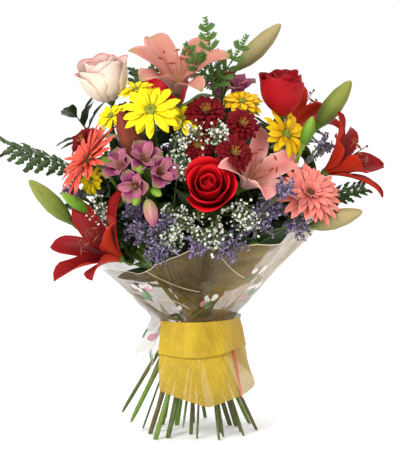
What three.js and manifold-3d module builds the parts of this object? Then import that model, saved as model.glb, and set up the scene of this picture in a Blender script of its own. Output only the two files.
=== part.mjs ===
// A hand-tied bouquet of mixed flowers. Its stems cross in a spiral at the tie, a pleated film sleeve
// holds it, and a folded mesh wrap goes round the neck. It stands unheld on its splayed, level-cut stems.
// Millimetres, +Z up. Every place below is measured from the tie, with the front of the bouquet towards -Y.

import * as THREE from "three";
import Module from "manifold-3d";

const wasm = await Module();
wasm.setup();
const { Manifold, Mesh } = wasm;

// Driving sizes
const floorLevel = -120;
const stemSides = 5;
const bundleRadius = 21;
const ringPitch = 6.6;
const strandGap = 0.3;
const bundleSqueeze = 0.95;
const petalGap = 0.33;
const fuseTolerances = [0.25, 0.2, 0.15, 0.1, 0.05, 0.01];
const cordRadius = 1.3;
const cordTurns = 2;
const cordSides = 16;
const filmThick = 1.2;
const filmNeckRadius = 46;
const pleatDepth = 19.7;
const rimPleat = 3.5;
const pleatCount = 8;
const pleatFade = 38;
const skirtDepth = 62;
const skirtRise = 26;
const wrapLean = 0.3;
const wrapThick = 1;
const wrapGap = 1;

// Film outline by azimuth in degrees, anticlockwise from +X: [azimuth, outward slope, rim height]
const filmOutline = [
  [0, 0.93, 128],
  [45, 0.82, 150],
  [90, 0.66, 160],
  [135, 0.62, 132],
  [180, 0.92, 82],
  [210, 1.22, 56],
  [235, 1.02, 62],
  [270, 0.74, 80],
  [320, 0.88, 92],
];

// Blooms: place of the face centre, aim as [degrees right of the front, degrees up], and radius
const roses = {
  rose_front: { at: [17, -116, 148], aim: [0, 28], radius: 28, colour: 0xb80d16, seed: 11 },
  rose_right: { at: [92, -58, 238], aim: [-8, 76], radius: 26, shut: 1, colour: 0xa01018, seed: 12 },
  rose_white: { at: [-89, -52, 251], aim: [-50, 68], radius: 26, shut: 1, colour: 0xe8dcc8, seed: 13 },
  rose_back: { at: [-28, 74, 232], aim: [195, 52], radius: 26, colour: 0xb80d16, seed: 14 },
};
const lilies = {
  lily_pink_top: {
    at: [-16, -46, 250], aim: [-4, 60], roll: 0, reach: 74, width: 33,
    colour: 0xcf9288, seed: 21,
  },
  lily_pink_right: {
    at: [59, -86, 153], aim: [42, 42], roll: 0, reach: 68, width: 29,
    colour: 0xe0a39c, seed: 22,
  },
  lily_red_left: {
    at: [-82, -88, 79], aim: [-58, 32], roll: 18, reach: 76, width: 31,
    colour: 0x8f0f12, seed: 23,
  },
  lily_red_right: {
    at: [148, -40, 163], aim: [72, 32], roll: -30, reach: 70, width: 27,
    colour: 0x98121a, seed: 24,
  },
  lily_red_back: {
    at: [110, 40, 206], aim: [118, 52], roll: 0, reach: 60, width: 26,
    colour: 0x8f0f12, seed: 25,
  },
};
const daisies = {
  daisy_one: { at: [-41, -106, 225], aim: [-8, 34], radius: 29, colour: 0xe6d62a, seed: 31 },
  daisy_two: { at: [-8, -92, 216], aim: [24, 50], radius: 21, colour: 0xe6d62a, seed: 32 },
  daisy_three: { at: [-82, -84, 218], aim: [-38, 44], radius: 17, colour: 0xe0cf24, seed: 33 },
  daisy_four: { at: [-56, -64, 244], aim: [-15, 66], radius: 18, colour: 0xe6d62a, seed: 34 },
  daisy_five: { at: [52, -58, 232], aim: [12, 58], radius: 20, colour: 0xd8ab18, seed: 35 },
  daisy_six: { at: [98, -62, 198], aim: [42, 26], radius: 26, colour: 0xdcb21c, seed: 36 },
  daisy_seven: { at: [-104, -66, 150], aim: [-42, 6], radius: 15, colour: 0xe6d62a, seed: 37 },
  daisy_back: { at: [52, 62, 222], aim: [158, 52], radius: 24, colour: 0xe0cf24, seed: 38 },
};
const mums = {
  mum_one: { at: [14, -92, 226], aim: [0, 45], radius: 22, colour: 0x7d1016, seed: 41 },
  mum_two: { at: [52, -94, 212], aim: [18, 38], radius: 20, colour: 0x7d1016, seed: 42 },
  mum_three: { at: [44, -116, 184], aim: [14, 26], radius: 21, colour: 0x8a1218, seed: 43 },
  mum_four: { at: [6, -104, 190], aim: [-6, 22], radius: 18, colour: 0x6e0e14, seed: 44 },
  mum_five: { at: [-116, -20, 190], aim: [-55, 34], radius: 20, colour: 0x5e0d18, seed: 45 },
  mum_six: { at: [32, -12, 258], aim: [10, 78], radius: 20, colour: 0x7d1016, seed: 46 },
  mum_back: { at: [-74, 34, 218], aim: [215, 55], radius: 21, colour: 0x7d1016, seed: 47 },
};
const gerberas = {
  gerbera_coral: { at: [-108, -86, 176], aim: [-66, 34], radius: 42, colour: 0xe06a5c, seed: 51 },
  gerbera_pink: { at: [120, -92, 142], aim: [24, 42], radius: 37, colour: 0xe58478, seed: 52 },
};

// Closed lily buds: base, tip and greatest radius
const buds = {
  left_low: { from: [-124, -52, 106], to: [-166, -60, 150], radius: 9.5 },
  left_small: { from: [-103, -72, 118], to: [-132, -78, 138], radius: 6 },
  top_cream: { from: [48, -6, 262], to: [92, -12, 308], radius: 10 },
  right_tall: { from: [130, -22, 202], to: [164, -28, 250], radius: 10.5 },
  right_small: { from: [112, -78, 186], to: [122, -80, 216], radius: 6.5 },
  right_low: { from: [120, -76, 104], to: [172, -92, 121], radius: 10 },
  left_copper: { from: [-54, -86, 174], to: [-72, -92, 222], radius: 12 },
};

// Alstroemeria florets: place of the mouth and aim
const florets = {
  front: [
    { at: [-74, -112, 172], aim: [-30, 30] },
    { at: [-46, -118, 180], aim: [4, 34] },
    { at: [-58, -120, 148], aim: [-18, 0] },
    { at: [-28, -122, 164], aim: [22, 14] },
  ],
  back: [
    { at: [48, -34, 250], aim: [10, 70] },
    { at: [30, 24, 246], aim: [150, 70] },
  ],
};

// Stems: what each one carries, its radius at the tie and its colour
const stems = {
  stem_rose_front: { heads: ["rose_front"], radius: 3.3, leaves: 2 },
  stem_rose_right: { heads: ["rose_right"], radius: 3.3, leaves: 2 },
  stem_rose_white: { heads: ["rose_white"], radius: 3.3, leaves: 2 },
  stem_rose_back: { heads: ["rose_back"], radius: 3.3, leaves: 3 },
  stem_lily_pink_top: { heads: ["lily_pink_top", "top_cream"], radius: 3.5, leaves: 2 },
  stem_lily_pink_right: { heads: ["lily_pink_right", "right_low"], radius: 3.5, leaves: 2 },
  stem_lily_red_left: {
    heads: ["lily_red_left", "left_low", "left_small", "left_copper"],
    radius: 3.6,
    leaves: 2,
  },
  stem_lily_red_right: { heads: ["lily_red_right", "right_tall", "right_small"], radius: 3.6, leaves: 2 },
  stem_lily_red_back: { heads: ["lily_red_back"], radius: 3.5, leaves: 3 },
  stem_daisy_left: { heads: ["daisy_one", "daisy_two", "daisy_three", "daisy_four"], radius: 2.8, leaves: 1 },
  stem_daisy_low: { heads: ["daisy_seven"], radius: 2.4, leaves: 1 },
  stem_daisy_right: { heads: ["daisy_five", "daisy_six", "daisy_back"], radius: 2.8, leaves: 1 },
  stem_mum_front: { heads: ["mum_one", "mum_two", "mum_three", "mum_four"], radius: 2.8, leaves: 1 },
  stem_mum_left: { heads: ["mum_five", "mum_back"], radius: 2.6, leaves: 1 },
  stem_mum_top: { heads: ["mum_six"], radius: 2.5, leaves: 1 },
  stem_gerbera_coral: { heads: ["gerbera_coral"], radius: 2.8, leaves: 0 },
  stem_gerbera_pink: { heads: ["gerbera_pink"], radius: 2.8, leaves: 0 },
};

// Sprays and foliage that go down to the tie on a stem of their own
const mists = {
  gypsophila_left: { at: [-34, -104, 140], spread: 46, count: 12, kind: "ball", colour: 0xe9ebe2, seed: 61 },
  gypsophila_right: { at: [30, -98, 196], spread: 44, count: 12, kind: "ball", colour: 0xe9ebe2, seed: 62 },
  statice_left: { at: [-48, -105, 114], spread: 44, count: 13, kind: "horn", colour: 0x5c4a86, seed: 63 },
  statice_right: { at: [66, -106, 124], spread: 44, count: 13, kind: "horn", colour: 0x5c4a86, seed: 64 },
  statice_back: { at: [0, 96, 196], spread: 46, count: 11, kind: "horn", colour: 0x5c4a86, seed: 65 },
};
const fronds = {
  fern_left: {
    route: [[-100, -20, 142], [-142, -34, 166], [-184, -42, 182]],
    pairs: 6, length: 27, face: [-20, 60], seed: 71,
  },
  fern_top: {
    route: [[22, -44, 236], [19, -52, 276], [14, -52, 314]],
    branches: [
      { from: 0.2, to: [[6, -54, 266], [-6, -54, 288]] },
      { from: 0.1, to: [[38, -52, 266], [56, -52, 296]] },
    ],
    pairs: 6, length: 19, face: [0, 10], seed: 72,
  },
  fern_right: {
    route: [[118, -26, 112], [146, -38, 130], [174, -46, 140]],
    pairs: 4, length: 18, face: [30, 50], seed: 73,
  },
  fern_back: {
    route: [[-20, 92, 176], [-36, 116, 214], [-52, 130, 250]],
    pairs: 6, length: 27, face: [190, 30], seed: 74,
  },
};
const leafSprays = {
  leaves_left: { route: [[-96, 24, 176], [-122, 26, 210]], count: 5, length: 46, seed: 81 },
  leaves_right: { route: [[84, 74, 160], [108, 90, 196]], count: 5, length: 48, seed: 82 },
};

const green = 0x3f5c22;
const stemGreen = 0x55701f;

// Vectors, angles and repeatable random draws
const rad = THREE.MathUtils.degToRad;
const lerp = THREE.MathUtils.lerp;
const vec = (x, y, z) => new THREE.Vector3(x, y, z);
const at = (list) => new THREE.Vector3(...list);
const upward = vec(0, 0, 1);

function seeded(seed) {
  let state = seed;
  return () => {
    state = (state + 0x6d2b79f5) | 0;
    let mixed = Math.imul(state ^ (state >>> 15), 1 | state);
    mixed = (mixed + Math.imul(mixed ^ (mixed >>> 7), 61 | mixed)) ^ mixed;
    return ((mixed ^ (mixed >>> 14)) >>> 0) / 4294967296;
  };
}

// Unit vector from degrees right of the front and degrees above the horizontal
function aimVector([right, up]) {
  const flat = Math.cos(rad(up));
  return vec(Math.sin(rad(right)) * flat, -Math.cos(rad(right)) * flat, Math.sin(rad(up)));
}

// Frame whose z axis is the aim and whose x axis is level
function headFrame(place, aim) {
  const side = vec(0, 0, 1).cross(aim);
  if (side.lengthSq() < 1e-6) side.set(1, 0, 0);
  side.normalize();
  const third = aim.clone().cross(side);
  return new THREE.Matrix4().makeBasis(side, third, aim).setPosition(place);
}

// Solids
function solidFrom(points, faces) {
  const vertProperties = new Float32Array(points.flatMap((p) => [p.x, p.y, p.z]));
  const triVerts = new Uint32Array(faces.flat());
  const solid = new Manifold(new Mesh({ numProp: 3, vertProperties, triVerts }));
  if (solid.volume() >= 0) return solid;
  const turned = new Uint32Array(faces.flatMap(([a, b, c]) => [a, c, b]));
  return new Manifold(new Mesh({ numProp: 3, vertProperties, triVerts: turned }));
}

// Rings of points joined into a closed solid. A ring of one point closes that end to a tip.
function loft(rings) {
  const points = rings.flat();
  const faces = [];
  const count = Math.max(...rings.map((ring) => ring.length));
  let start = 0;
  for (let k = 0; k + 1 < rings.length; k++) {
    const here = start;
    const next = start + rings[k].length;
    for (let i = 0; i < count; i++) {
      const j = (i + 1) % count;
      const [a, b] = rings[k].length === 1 ? [here, here] : [here + i, here + j];
      const [c, d] = rings[k + 1].length === 1 ? [next, next] : [next + i, next + j];
      if (a !== b) faces.push([a, b, c]);
      if (c !== d) faces.push([b, d, c]);
    }
    start = next;
  }
  const last = points.length - count;
  for (let i = 1; i + 1 < count; i++) {
    if (rings[0].length > 1) faces.push([0, i + 1, i]);
    if (rings.at(-1).length > 1) faces.push([last, last + i, last + i + 1]);
  }
  return solidFrom(points, faces);
}

// Tube along points, its radius given at each one
function tube(points, radii, sides = stemSides, level = false) {
  const rings = [];
  let side = vec(1, 0.35, 0.1).normalize();
  points.forEach((point, i) => {
    const before = points[Math.max(i - 1, 0)];
    const after = points[Math.min(i + 1, points.length - 1)];
    const along = after.clone().sub(before).normalize();
    if (level && i === 0) along.set(0, 0, 1);
    side = side.clone().addScaledVector(along, -side.dot(along)).normalize();
    const other = along.clone().cross(side);
    const radius = Array.isArray(radii) ? radii[i] : radii;
    const ring = [];
    for (let k = 0; k < sides; k++) {
      const turn = (2 * Math.PI * k) / sides;
      const offset = side.clone().multiplyScalar(Math.cos(turn) * radius);
      ring.push(offset.addScaledVector(other, Math.sin(turn) * radius).add(point));
    }
    rings.push(ring);
  });
  return loft(rings);
}

// Blade along a line of stations { at, side, up, half, thick, lift }, with sharp edges and a thick middle.
// A folded blade has a groove along the top; a plain one is flat on top with a keel below.
function blade(stations, folded = false) {
  const rings = stations.map(({ at: middle, side, up, half, thick, lift = 0 }) => {
    if (half === 0) return [middle.clone()];
    const left = middle.clone().addScaledVector(side, -half).addScaledVector(up, lift);
    const right = middle.clone().addScaledVector(side, half).addScaledVector(up, lift);
    const keel = middle.clone().addScaledVector(up, -thick);
    return folded ? [left, keel, right, middle.clone()] : [left, keel, right];
  });
  return loft(rings);
}

// Solids already in place, each piece on its own so that the box test is sharp
const placed = [];

function keep(node, solid) {
  placed.push({ node, solid, box: solid.boundingBox() });
  return solid;
}

function apart(one, other, gap) {
  return [0, 1, 2].some((k) => one.min[k] > other.max[k] + gap || other.min[k] > one.max[k] + gap);
}

function clears(node, solid, gap = petalGap) {
  const box = solid.boundingBox();
  return placed.every((other) => {
    if (other.node === node || apart(box, other.box, gap)) return true;
    return other.solid.minGap(solid, gap + 0.01) >= gap;
  });
}

function moved(solid, matrix) {
  return solid.transform(matrix.toArray());
}

// Tries each variant of a piece in turn and keeps the first that is clear of the other nodes
function fit(node, variants, make, allowed = () => true) {
  for (const variant of variants) {
    const solid = make(variant);
    if (allowed() && clears(node, solid)) return keep(node, solid);
  }
  return null;
}

const root = new THREE.Group();

// True when the surface stays closed once its corners are rounded to a ten-thousandth of a millimetre
function staysClosed(solid) {
  const { vertProperties, triVerts, numProp } = solid.getMesh();
  const corner = (i) => {
    const place = vertProperties.slice(i * numProp, i * numProp + 3);
    return place.map((value) => Math.round(value * 1e4)).join();
  };
  const edges = new Set();
  for (let i = 0; i < triVerts.length; i += 3) {
    const [a, b, c] = [0, 1, 2].map((k) => corner(triVerts[i + k]));
    if (a === b || b === c || c === a) continue;
    for (const edge of [a + "/" + b, b + "/" + c, c + "/" + a]) {
      if (edges.has(edge)) return false;
      edges.add(edge);
    }
  }
  return [...edges].every((edge) => edges.has(edge.split("/").reverse().join("/")));
}

// The pieces as one body, in as few faces as still leave it closed, without loose scraps or sealed hollows
function fuse(solids) {
  const whole = Manifold.union(solids.filter(Boolean)).asOriginal();
  const bodies = (tolerance) => whole.simplify(tolerance).decompose().sort((a, b) => b.volume() - a.volume());
  return fuseTolerances.map((tolerance) => bodies(tolerance)[0]).find(staysClosed);
}

function addNode(name, solids, colour, roughness = 0.7) {
  const whole = fuse(solids);
  const { vertProperties, triVerts, numProp } = whole.getMesh();
  const geometry = new THREE.BufferGeometry();
  const positions = [];
  for (let i = 0; i < vertProperties.length; i += numProp) {
    positions.push(vertProperties[i], vertProperties[i + 1], vertProperties[i + 2]);
  }
  geometry.setAttribute("position", new THREE.Float32BufferAttribute(positions, 3));
  geometry.setIndex([...triVerts]);
  geometry.computeVertexNormals();
  const material = new THREE.MeshStandardMaterial({ color: colour, roughness, metalness: 0 });
  const mesh = new THREE.Mesh(geometry, material);
  mesh.name = name;
  root.add(mesh);
}

// Film outline: slope and rim height at any azimuth, smoothly between the listed ones
function filmAt(turn) {
  const degrees = ((THREE.MathUtils.radToDeg(turn) % 360) + 360) % 360;
  const count = filmOutline.length;
  const index = filmOutline.findLastIndex(([start]) => start <= degrees);
  const [from, slopeFrom, rimFrom] = filmOutline[index];
  const [to, slopeTo, rimTo] = filmOutline[(index + 1) % count];
  const share = (degrees - from) / ((to > from ? to : 360) - from);
  const smooth = share * share * (3 - 2 * share);
  return { slope: lerp(slopeFrom, slopeTo, smooth), rim: lerp(rimFrom, rimTo, smooth) };
}

const skirtSlope = (turn) => 0.36 - 0.12 * Math.cos(turn - rad(20));

function filmOuter(turn, z) {
  return filmNeckRadius + (z >= 0 ? filmAt(turn).slope * z : -skirtSlope(turn) * z);
}

function filmPleat(z) {
  return rimPleat + (pleatDepth - rimPleat) * Math.exp(-Math.abs(z) / pleatFade);
}

function filmRadius(turn, z) {
  return filmOuter(turn, z) - (filmPleat(z) * (1 - Math.cos(pleatCount * turn))) / 2;
}

const filmInner = (turn, z) => filmOuter(turn, z) - filmPleat(z) - filmThick;

// Heads: where each stem ends, which way it points there, and the core that other stems keep clear of
const heads = {};

function addHeads(table, depthOf, coreOf) {
  for (const [name, spec] of Object.entries(table)) {
    const aim = aimVector(spec.aim);
    const face = at(spec.at);
    heads[name] = {
      aim,
      base: face.clone().addScaledVector(aim, -depthOf(spec)),
      core: face.clone().addScaledVector(aim, -depthOf(spec) * 0.35),
      coreRadius: coreOf(spec),
    };
  }
}

const roseHeight = (spec) => spec.radius * 1.85;
const lilyThroat = 18;
addHeads(roses, (spec) => roseHeight(spec) * 0.55, (spec) => spec.radius * 0.9);
addHeads(lilies, () => lilyThroat, () => 13);
addHeads(daisies, () => 8, (spec) => spec.radius * 0.45);
addHeads(mums, (spec) => spec.radius * 0.6, (spec) => spec.radius * 0.7);
addHeads(gerberas, () => 10, (spec) => spec.radius * 0.45);
for (const [name, { from, to, radius }] of Object.entries(buds)) {
  const aim = at(to).sub(at(from)).normalize();
  const middle = at(from).lerp(at(to), 0.5);
  heads[name] = { aim, base: at(from), core: middle, coreRadius: radius * 1.1 };
}
for (const [place, list] of Object.entries(florets)) {
  list.forEach((floret, i) => {
    const aim = aimVector(floret.aim);
    const base = at(floret.at).addScaledVector(aim, -24);
    heads["floret_" + place + i] = { aim, base, core: at(floret.at), coreRadius: 9 };
  });
}
stems.alstroemeria_front = { heads: florets.front.map((_, i) => "floret_front" + i), radius: 2.6, leaves: 0 };
stems.alstroemeria_back = { heads: florets.back.map((_, i) => "floret_back" + i), radius: 2.6, leaves: 0 };

// A strand is a stem or a pedicel: points with fixed ends, moved apart from the others until all are clear
const strands = [];

function forkOf(list) {
  const middle = vec(0, 0, 0);
  list.forEach((name) => middle.add(heads[name].base));
  return middle.multiplyScalar(0.68 / list.length);
}

function addPedicel(node, fork, name, radius) {
  const { base, aim } = heads[name];
  const neck = base.clone().addScaledVector(aim, -12);
  const reach = fork.distanceTo(neck);
  const leave = fork.clone().normalize().multiplyScalar(reach * 0.4).add(fork);
  const pull = neck.clone().addScaledVector(aim, -reach * 0.2);
  const curve = new THREE.CubicBezierCurve3(fork, leave, pull, neck);
  const points = curve.getPoints(Math.max(2, Math.round(reach / 22)));
  strands.push({ node, points: [...points, base.clone()], radius, head: name, part: "pedicel" });
}

const trunks = [];
for (const [node, spec] of Object.entries(stems)) {
  if (spec.heads.length === 1) {
    const { base, aim } = heads[spec.heads[0]];
    trunks.push({ node, top: base, aim, radius: spec.radius, head: spec.heads[0] });
    continue;
  }
  const fork = forkOf(spec.heads);
  trunks.push({ node, top: fork, aim: fork.clone().normalize(), radius: spec.radius, fork: true });
  spec.heads.forEach((name) => addPedicel(node, fork, name, spec.radius * 0.72));
}
for (const [node, spec] of Object.entries(mists)) {
  const top = at(spec.at).multiplyScalar(0.62);
  trunks.push({ node, top, aim: top.clone().normalize(), radius: 1.7, fork: true });
}
for (const [node, spec] of Object.entries({ ...fronds, ...leafSprays })) {
  const route = new THREE.CatmullRomCurve3(spec.route.map(at));
  const rib = route.getPoints(4).slice(1);
  trunks.push({ node, top: route.getPoint(0), aim: route.getTangent(0), radius: 2, fork: true, rib });
}

// Places at the tie, from the steepest stem at the middle to the most slanted in the outer ring
const slant = ({ top }) => Math.hypot(top.x, top.y) / top.z;
trunks.sort((a, b) => slant(a) - slant(b));
const ringSizes = [1, 6, 11, 20];
let ringStart = 0;
ringSizes.forEach((size, ring) => {
  const members = trunks.slice(ringStart, ringStart + size);
  ringStart += size;
  const distance = Math.max(ring * ringPitch, 0.5);
  members.forEach((trunk) => {
    const reach = Math.atan2(trunk.top.y, trunk.top.x);
    trunk.wanted = reach - Math.atan((slant(trunk) * trunk.top.z) / distance);
  });
  members.sort((a, b) => a.wanted - b.wanted);
  const step = (2 * Math.PI) / members.length;
  const offset = members.reduce((sum, trunk, i) => sum + trunk.wanted - i * step, 0) / members.length;
  members.forEach((trunk, i) => {
    trunk.turn = offset + i * step;
    trunk.distance = distance;
  });
});

function addTrunk({ node, top, aim, radius, head, fork, rib, turn, distance }) {
  const low = Math.min(0.95, 0.16 + 0.5 * slant({ top }));
  const reach = 128 / Math.hypot(1, low);
  const bottom = low < 0.62 ? floorLevel : -reach;
  const waist = vec(Math.cos(turn) * distance, Math.sin(turn) * distance, 0);
  const twist = vec(-Math.sin(turn), Math.cos(turn), 0);
  const foot = waist.clone().addScaledVector(twist, low * bottom).setZ(bottom);
  const points = [0, 0.35, 0.7].map((share) => foot.clone().lerp(waist, share));
  points.push(waist.clone().addScaledVector(twist, -low * 8).setZ(-8));
  const leave = vec(0, 0, 1).addScaledVector(twist, slant({ top })).normalize();
  const start = waist.clone().addScaledVector(leave, 8);
  const neck = fork ? top.clone() : top.clone().addScaledVector(aim, -18);
  const length = start.distanceTo(neck);
  const pull = neck.clone().addScaledVector(aim, -length * 0.3);
  const push = start.clone().addScaledVector(leave, length * 0.33);
  const curve = new THREE.CubicBezierCurve3(start, push, pull, neck);
  points.push(...curve.getPoints(Math.max(4, Math.round(length / 38))));
  if (!fork) points.push(top.clone());
  const ribFrom = points.length - 1;
  if (rib) points.push(...rib);
  strands.push({ node, points, radius, head, part: "stem", ribFrom });
}
trunks.forEach(addTrunk);

// Shares along two segments where they come nearest
function nearestShares(p1, q1, p2, q2) {
  const d1 = q1.clone().sub(p1);
  const d2 = q2.clone().sub(p2);
  const between = p1.clone().sub(p2);
  const a = d1.dot(d1);
  const b = d1.dot(d2);
  const c = d1.dot(between);
  const e = d2.dot(d2);
  const f = d2.dot(between);
  const spread = a * e - b * b;
  let s = spread > 1e-9 ? THREE.MathUtils.clamp((b * f - c * e) / spread, 0, 1) : 0.5;
  const t = THREE.MathUtils.clamp((b * s + f) / e, 0, 1);
  s = THREE.MathUtils.clamp((b * t - c) / a, 0, 1);
  return [s, t];
}

const fixedEnds = ({ part, head, points }, i) => {
  if (part === "pedicel") return i === 0 || i >= points.length - 2;
  return i === 0 || i >= points.length - (head ? 2 : 1);
};

function shove(strand, i, direction, amount) {
  if (!fixedEnds(strand, i)) strand.points[i].addScaledVector(direction, amount);
}

function separate(one, i, two, j) {
  const [p1, q1, p2, q2] = [one.points[i], one.points[i + 1], two.points[j], two.points[j + 1]];
  const need = one.radius + two.radius + strandGap;
  const axes = ["x", "y", "z"];
  const past = (k, [a, b], [c, d]) => Math.min(a[k], b[k]) > Math.max(c[k], d[k]) + need;
  if (axes.some((k) => past(k, [p1, q1], [p2, q2]) || past(k, [p2, q2], [p1, q1]))) return;
  const [s, t] = nearestShares(p1, q1, p2, q2);
  const away = p1.clone().lerp(q1, s).sub(p2.clone().lerp(q2, t));
  const distance = away.length();
  if (distance >= need || distance < 1e-6) return;
  away.divideScalar(distance);
  const push = (need - distance) * 0.55;
  shove(one, i, away, push * (1 - s));
  shove(one, i + 1, away, push * s);
  shove(two, j, away, -push * (1 - t));
  shove(two, j + 1, away, -push * t);
}

function contain(strand, i, squeeze) {
  const point = strand.points[i];
  if (fixedEnds(strand, i)) return;
  const turn = Math.atan2(point.y, point.x);
  const distance = Math.hypot(point.x, point.y);
  let limit = Infinity;
  if (point.z > -skirtDepth - 12 && point.z < filmAt(turn).rim + 6) limit = filmInner(turn, point.z) - 2.5;
  if (Math.abs(point.z) < 14) limit = Math.min(limit, bundleRadius, distance * squeeze + strand.radius);
  limit -= strand.radius;
  if (distance > limit) {
    point.x *= limit / distance;
    point.y *= limit / distance;
  }
}

function settleStrands(rounds) {
  for (let round = 0; round < rounds; round++) {
    for (const strand of strands) {
      for (let i = 1; i + 1 < strand.points.length; i++) {
        if (fixedEnds(strand, i)) continue;
        const middle = strand.points[i - 1].clone().lerp(strand.points[i + 1], 0.5);
        const point = strand.points[i];
        const slack = round < rounds * 0.7 ? 0.12 : 0.02;
        point.x = lerp(point.x, middle.x, slack);
        point.y = lerp(point.y, middle.y, slack);
      }
    }
    for (let a = 0; a < strands.length; a++) {
      for (let b = a + 1; b < strands.length; b++) {
        if (strands[a].node === strands[b].node) continue;
        for (let i = 0; i + 1 < strands[a].points.length; i++) {
          for (let j = 0; j + 1 < strands[b].points.length; j++) separate(strands[a], i, strands[b], j);
        }
      }
    }
    for (const strand of strands) {
      strand.points.forEach((point, i) => {
        if (fixedEnds(strand, i)) return;
        for (const [name, { core, coreRadius }] of Object.entries(heads)) {
          if (stems[strand.node]?.heads.includes(name)) continue;
          const away = point.clone().sub(core);
          const need = coreRadius + strand.radius + 2;
          if (away.length() < need) point.addScaledVector(away.normalize(), need - away.length());
        }
        contain(strand, i, round < rounds * 0.92 ? bundleSqueeze : 1);
      });
    }
  }
}
settleStrands(200);

const tubes = {};
for (const { node, points, radius, part, ribFrom } of strands) {
  const last = points.length - 1;
  const slim = ribFrom < last ? 0.4 : 0.78;
  const radii = points.map((_, i) => radius * lerp(1, slim, i / last));
  const solid = tube(points, radii, radius < 2.2 ? 4 : stemSides, part === "stem");
  tubes[node] ??= [];
  tubes[node].push(keep(node, solid));
}

// Film sleeve, mesh wrap and binding cord
function sheetSolid(columns, rows, pointAt, thick, closed) {
  const geometry = new THREE.BufferGeometry();
  const outer = [];
  const wide = closed ? columns : columns + 1;
  for (let row = 0; row <= rows; row++) {
    for (let i = 0; i < wide; i++) outer.push(pointAt(i / columns, row / rows));
  }
  const quads = [];
  for (let row = 0; row < rows; row++) {
    for (let i = 0; i < columns; i++) {
      const j = (i + 1) % wide;
      const low = row * wide;
      const high = low + wide;
      quads.push([low + i, low + j, high + j, high + i]);
    }
  }
  const faces = quads.flatMap(([a, b, c, d]) => [[a, b, c], [a, c, d]]);
  const flat = outer.flatMap((p) => [p.x, p.y, p.z]);
  geometry.setAttribute("position", new THREE.Float32BufferAttribute(flat, 3));
  geometry.setIndex(faces.flat());
  geometry.computeVertexNormals();
  const normals = geometry.getAttribute("normal");
  const inner = outer.map((p, i) => {
    const outward = vec().fromBufferAttribute(normals, i);
    return p.clone().addScaledVector(outward, -thick);
  });
  const shift = outer.length;
  const all = [...faces, ...faces.map(([a, b, c]) => [a + shift, c + shift, b + shift])];
  const edge = (a, b) => all.push([b, a, a + shift], [b, a + shift, b + shift]);
  for (let i = 0; i < columns; i++) {
    const j = (i + 1) % wide;
    edge(i, j);
    edge(rows * wide + j, rows * wide + i);
  }
  if (!closed) {
    for (let row = 0; row < rows; row++) {
      edge((row + 1) * wide, row * wide);
      edge(row * wide + columns, (row + 1) * wide + columns);
    }
  }
  return solidFrom([...outer, ...inner], all);
}

const around = (turn, radius, z) => vec(Math.cos(turn) * radius, Math.sin(turn) * radius, z);

// Lower edge of the film, cut higher on the left where the slanted stems come out
function hemAt(turn) {
  const left = Math.max(Math.cos(turn - rad(172)), 0);
  return -skirtDepth + 5 * Math.cos(3 * turn) + skirtRise * left ** 4;
}

function filmPoint(u, v) {
  const turn = 2 * Math.PI * u;
  const { rim } = filmAt(turn);
  const wave = 4 * Math.cos(5 * turn + 1);
  const hem = hemAt(turn);
  const heights = [hem, hem / 2, 0, 0.14, 0.4, 0.7, 1];
  const index = Math.round(v * 6);
  const z = index < 3 ? heights[index] : heights[index] * (rim + wave);
  return around(turn, filmRadius(turn, z), z);
}
const film = keep("wrapper", sheetSolid(pleatCount * 4, 6, filmPoint, filmThick, true));

const wrapFrom = rad(-132);
const wrapTo = rad(88);
const wrapCorner = rad(-78);

function wrapRadius(turn, z) {
  return filmOuter(turn, z) + wrapGap + wrapThick + 1.2 * (1 + Math.cos(4 * turn + z / 16));
}

function wrapPoint(u, v) {
  const turn = lerp(wrapFrom + wrapLean * (1 - v), wrapTo, u);
  const slope = turn < wrapCorner ? 26 : 13;
  const bottom = -82 + slope * Math.abs(turn - wrapCorner);
  const z = lerp(Math.min(bottom, -34), 2, v);
  return around(turn, wrapRadius(turn, z), z);
}

function flapPoint(u, v) {
  const turn = lerp(wrapFrom + 0.06 + 0.36 * wrapLean * (1 - v), wrapCorner + 1.15, u);
  const z = lerp(-30 - 3 * Math.sin(turn * 3), 2, v);
  const lift = v === 1 ? -wrapThick * 0.4 : 1.6 + 2 * (1 - v);
  return around(turn, wrapRadius(turn, z) + lift, z + (v === 1 ? 0.4 : 0));
}
const wrapMain = sheetSolid(14, 2, wrapPoint, wrapThick, false);
const wrapFlap = sheetSolid(8, 1, flapPoint, wrapThick, false);
keep("mesh_wrap", wrapMain);
keep("mesh_wrap", wrapFlap);

// Closed ring from a profile that does not touch the axis
function solidOfRevolution(profile, steps) {
  const points = [];
  const faces = [];
  for (let i = 0; i < steps; i++) {
    const turn = (2 * Math.PI * i) / steps;
    profile.forEach(({ x, y }) => points.push(around(turn, x, y)));
  }
  const size = profile.length;
  for (let i = 0; i < steps; i++) {
    for (let k = 0; k < size; k++) {
      const a = i * size + k;
      const b = i * size + ((k + 1) % size);
      const c = ((i + 1) % steps) * size + ((k + 1) % size);
      const d = ((i + 1) % steps) * size + k;
      faces.push([a, b, c], [a, c, d]);
    }
  }
  return solidFrom(points, faces);
}

// How far the stems reach from the axis within a height of the tie
function bundleReach(height) {
  let reach = 0;
  for (const solids of Object.values(tubes)) {
    for (const solid of solids) {
      const slab = solid.trimByPlane([0, 0, 1], -height).trimByPlane([0, 0, -1], -height);
      const { vertProperties, numProp } = slab.getMesh();
      for (let i = 0; i < vertProperties.length; i += numProp) {
        reach = Math.max(reach, Math.hypot(vertProperties[i], vertProperties[i + 1]));
      }
    }
  }
  return reach;
}

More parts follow.
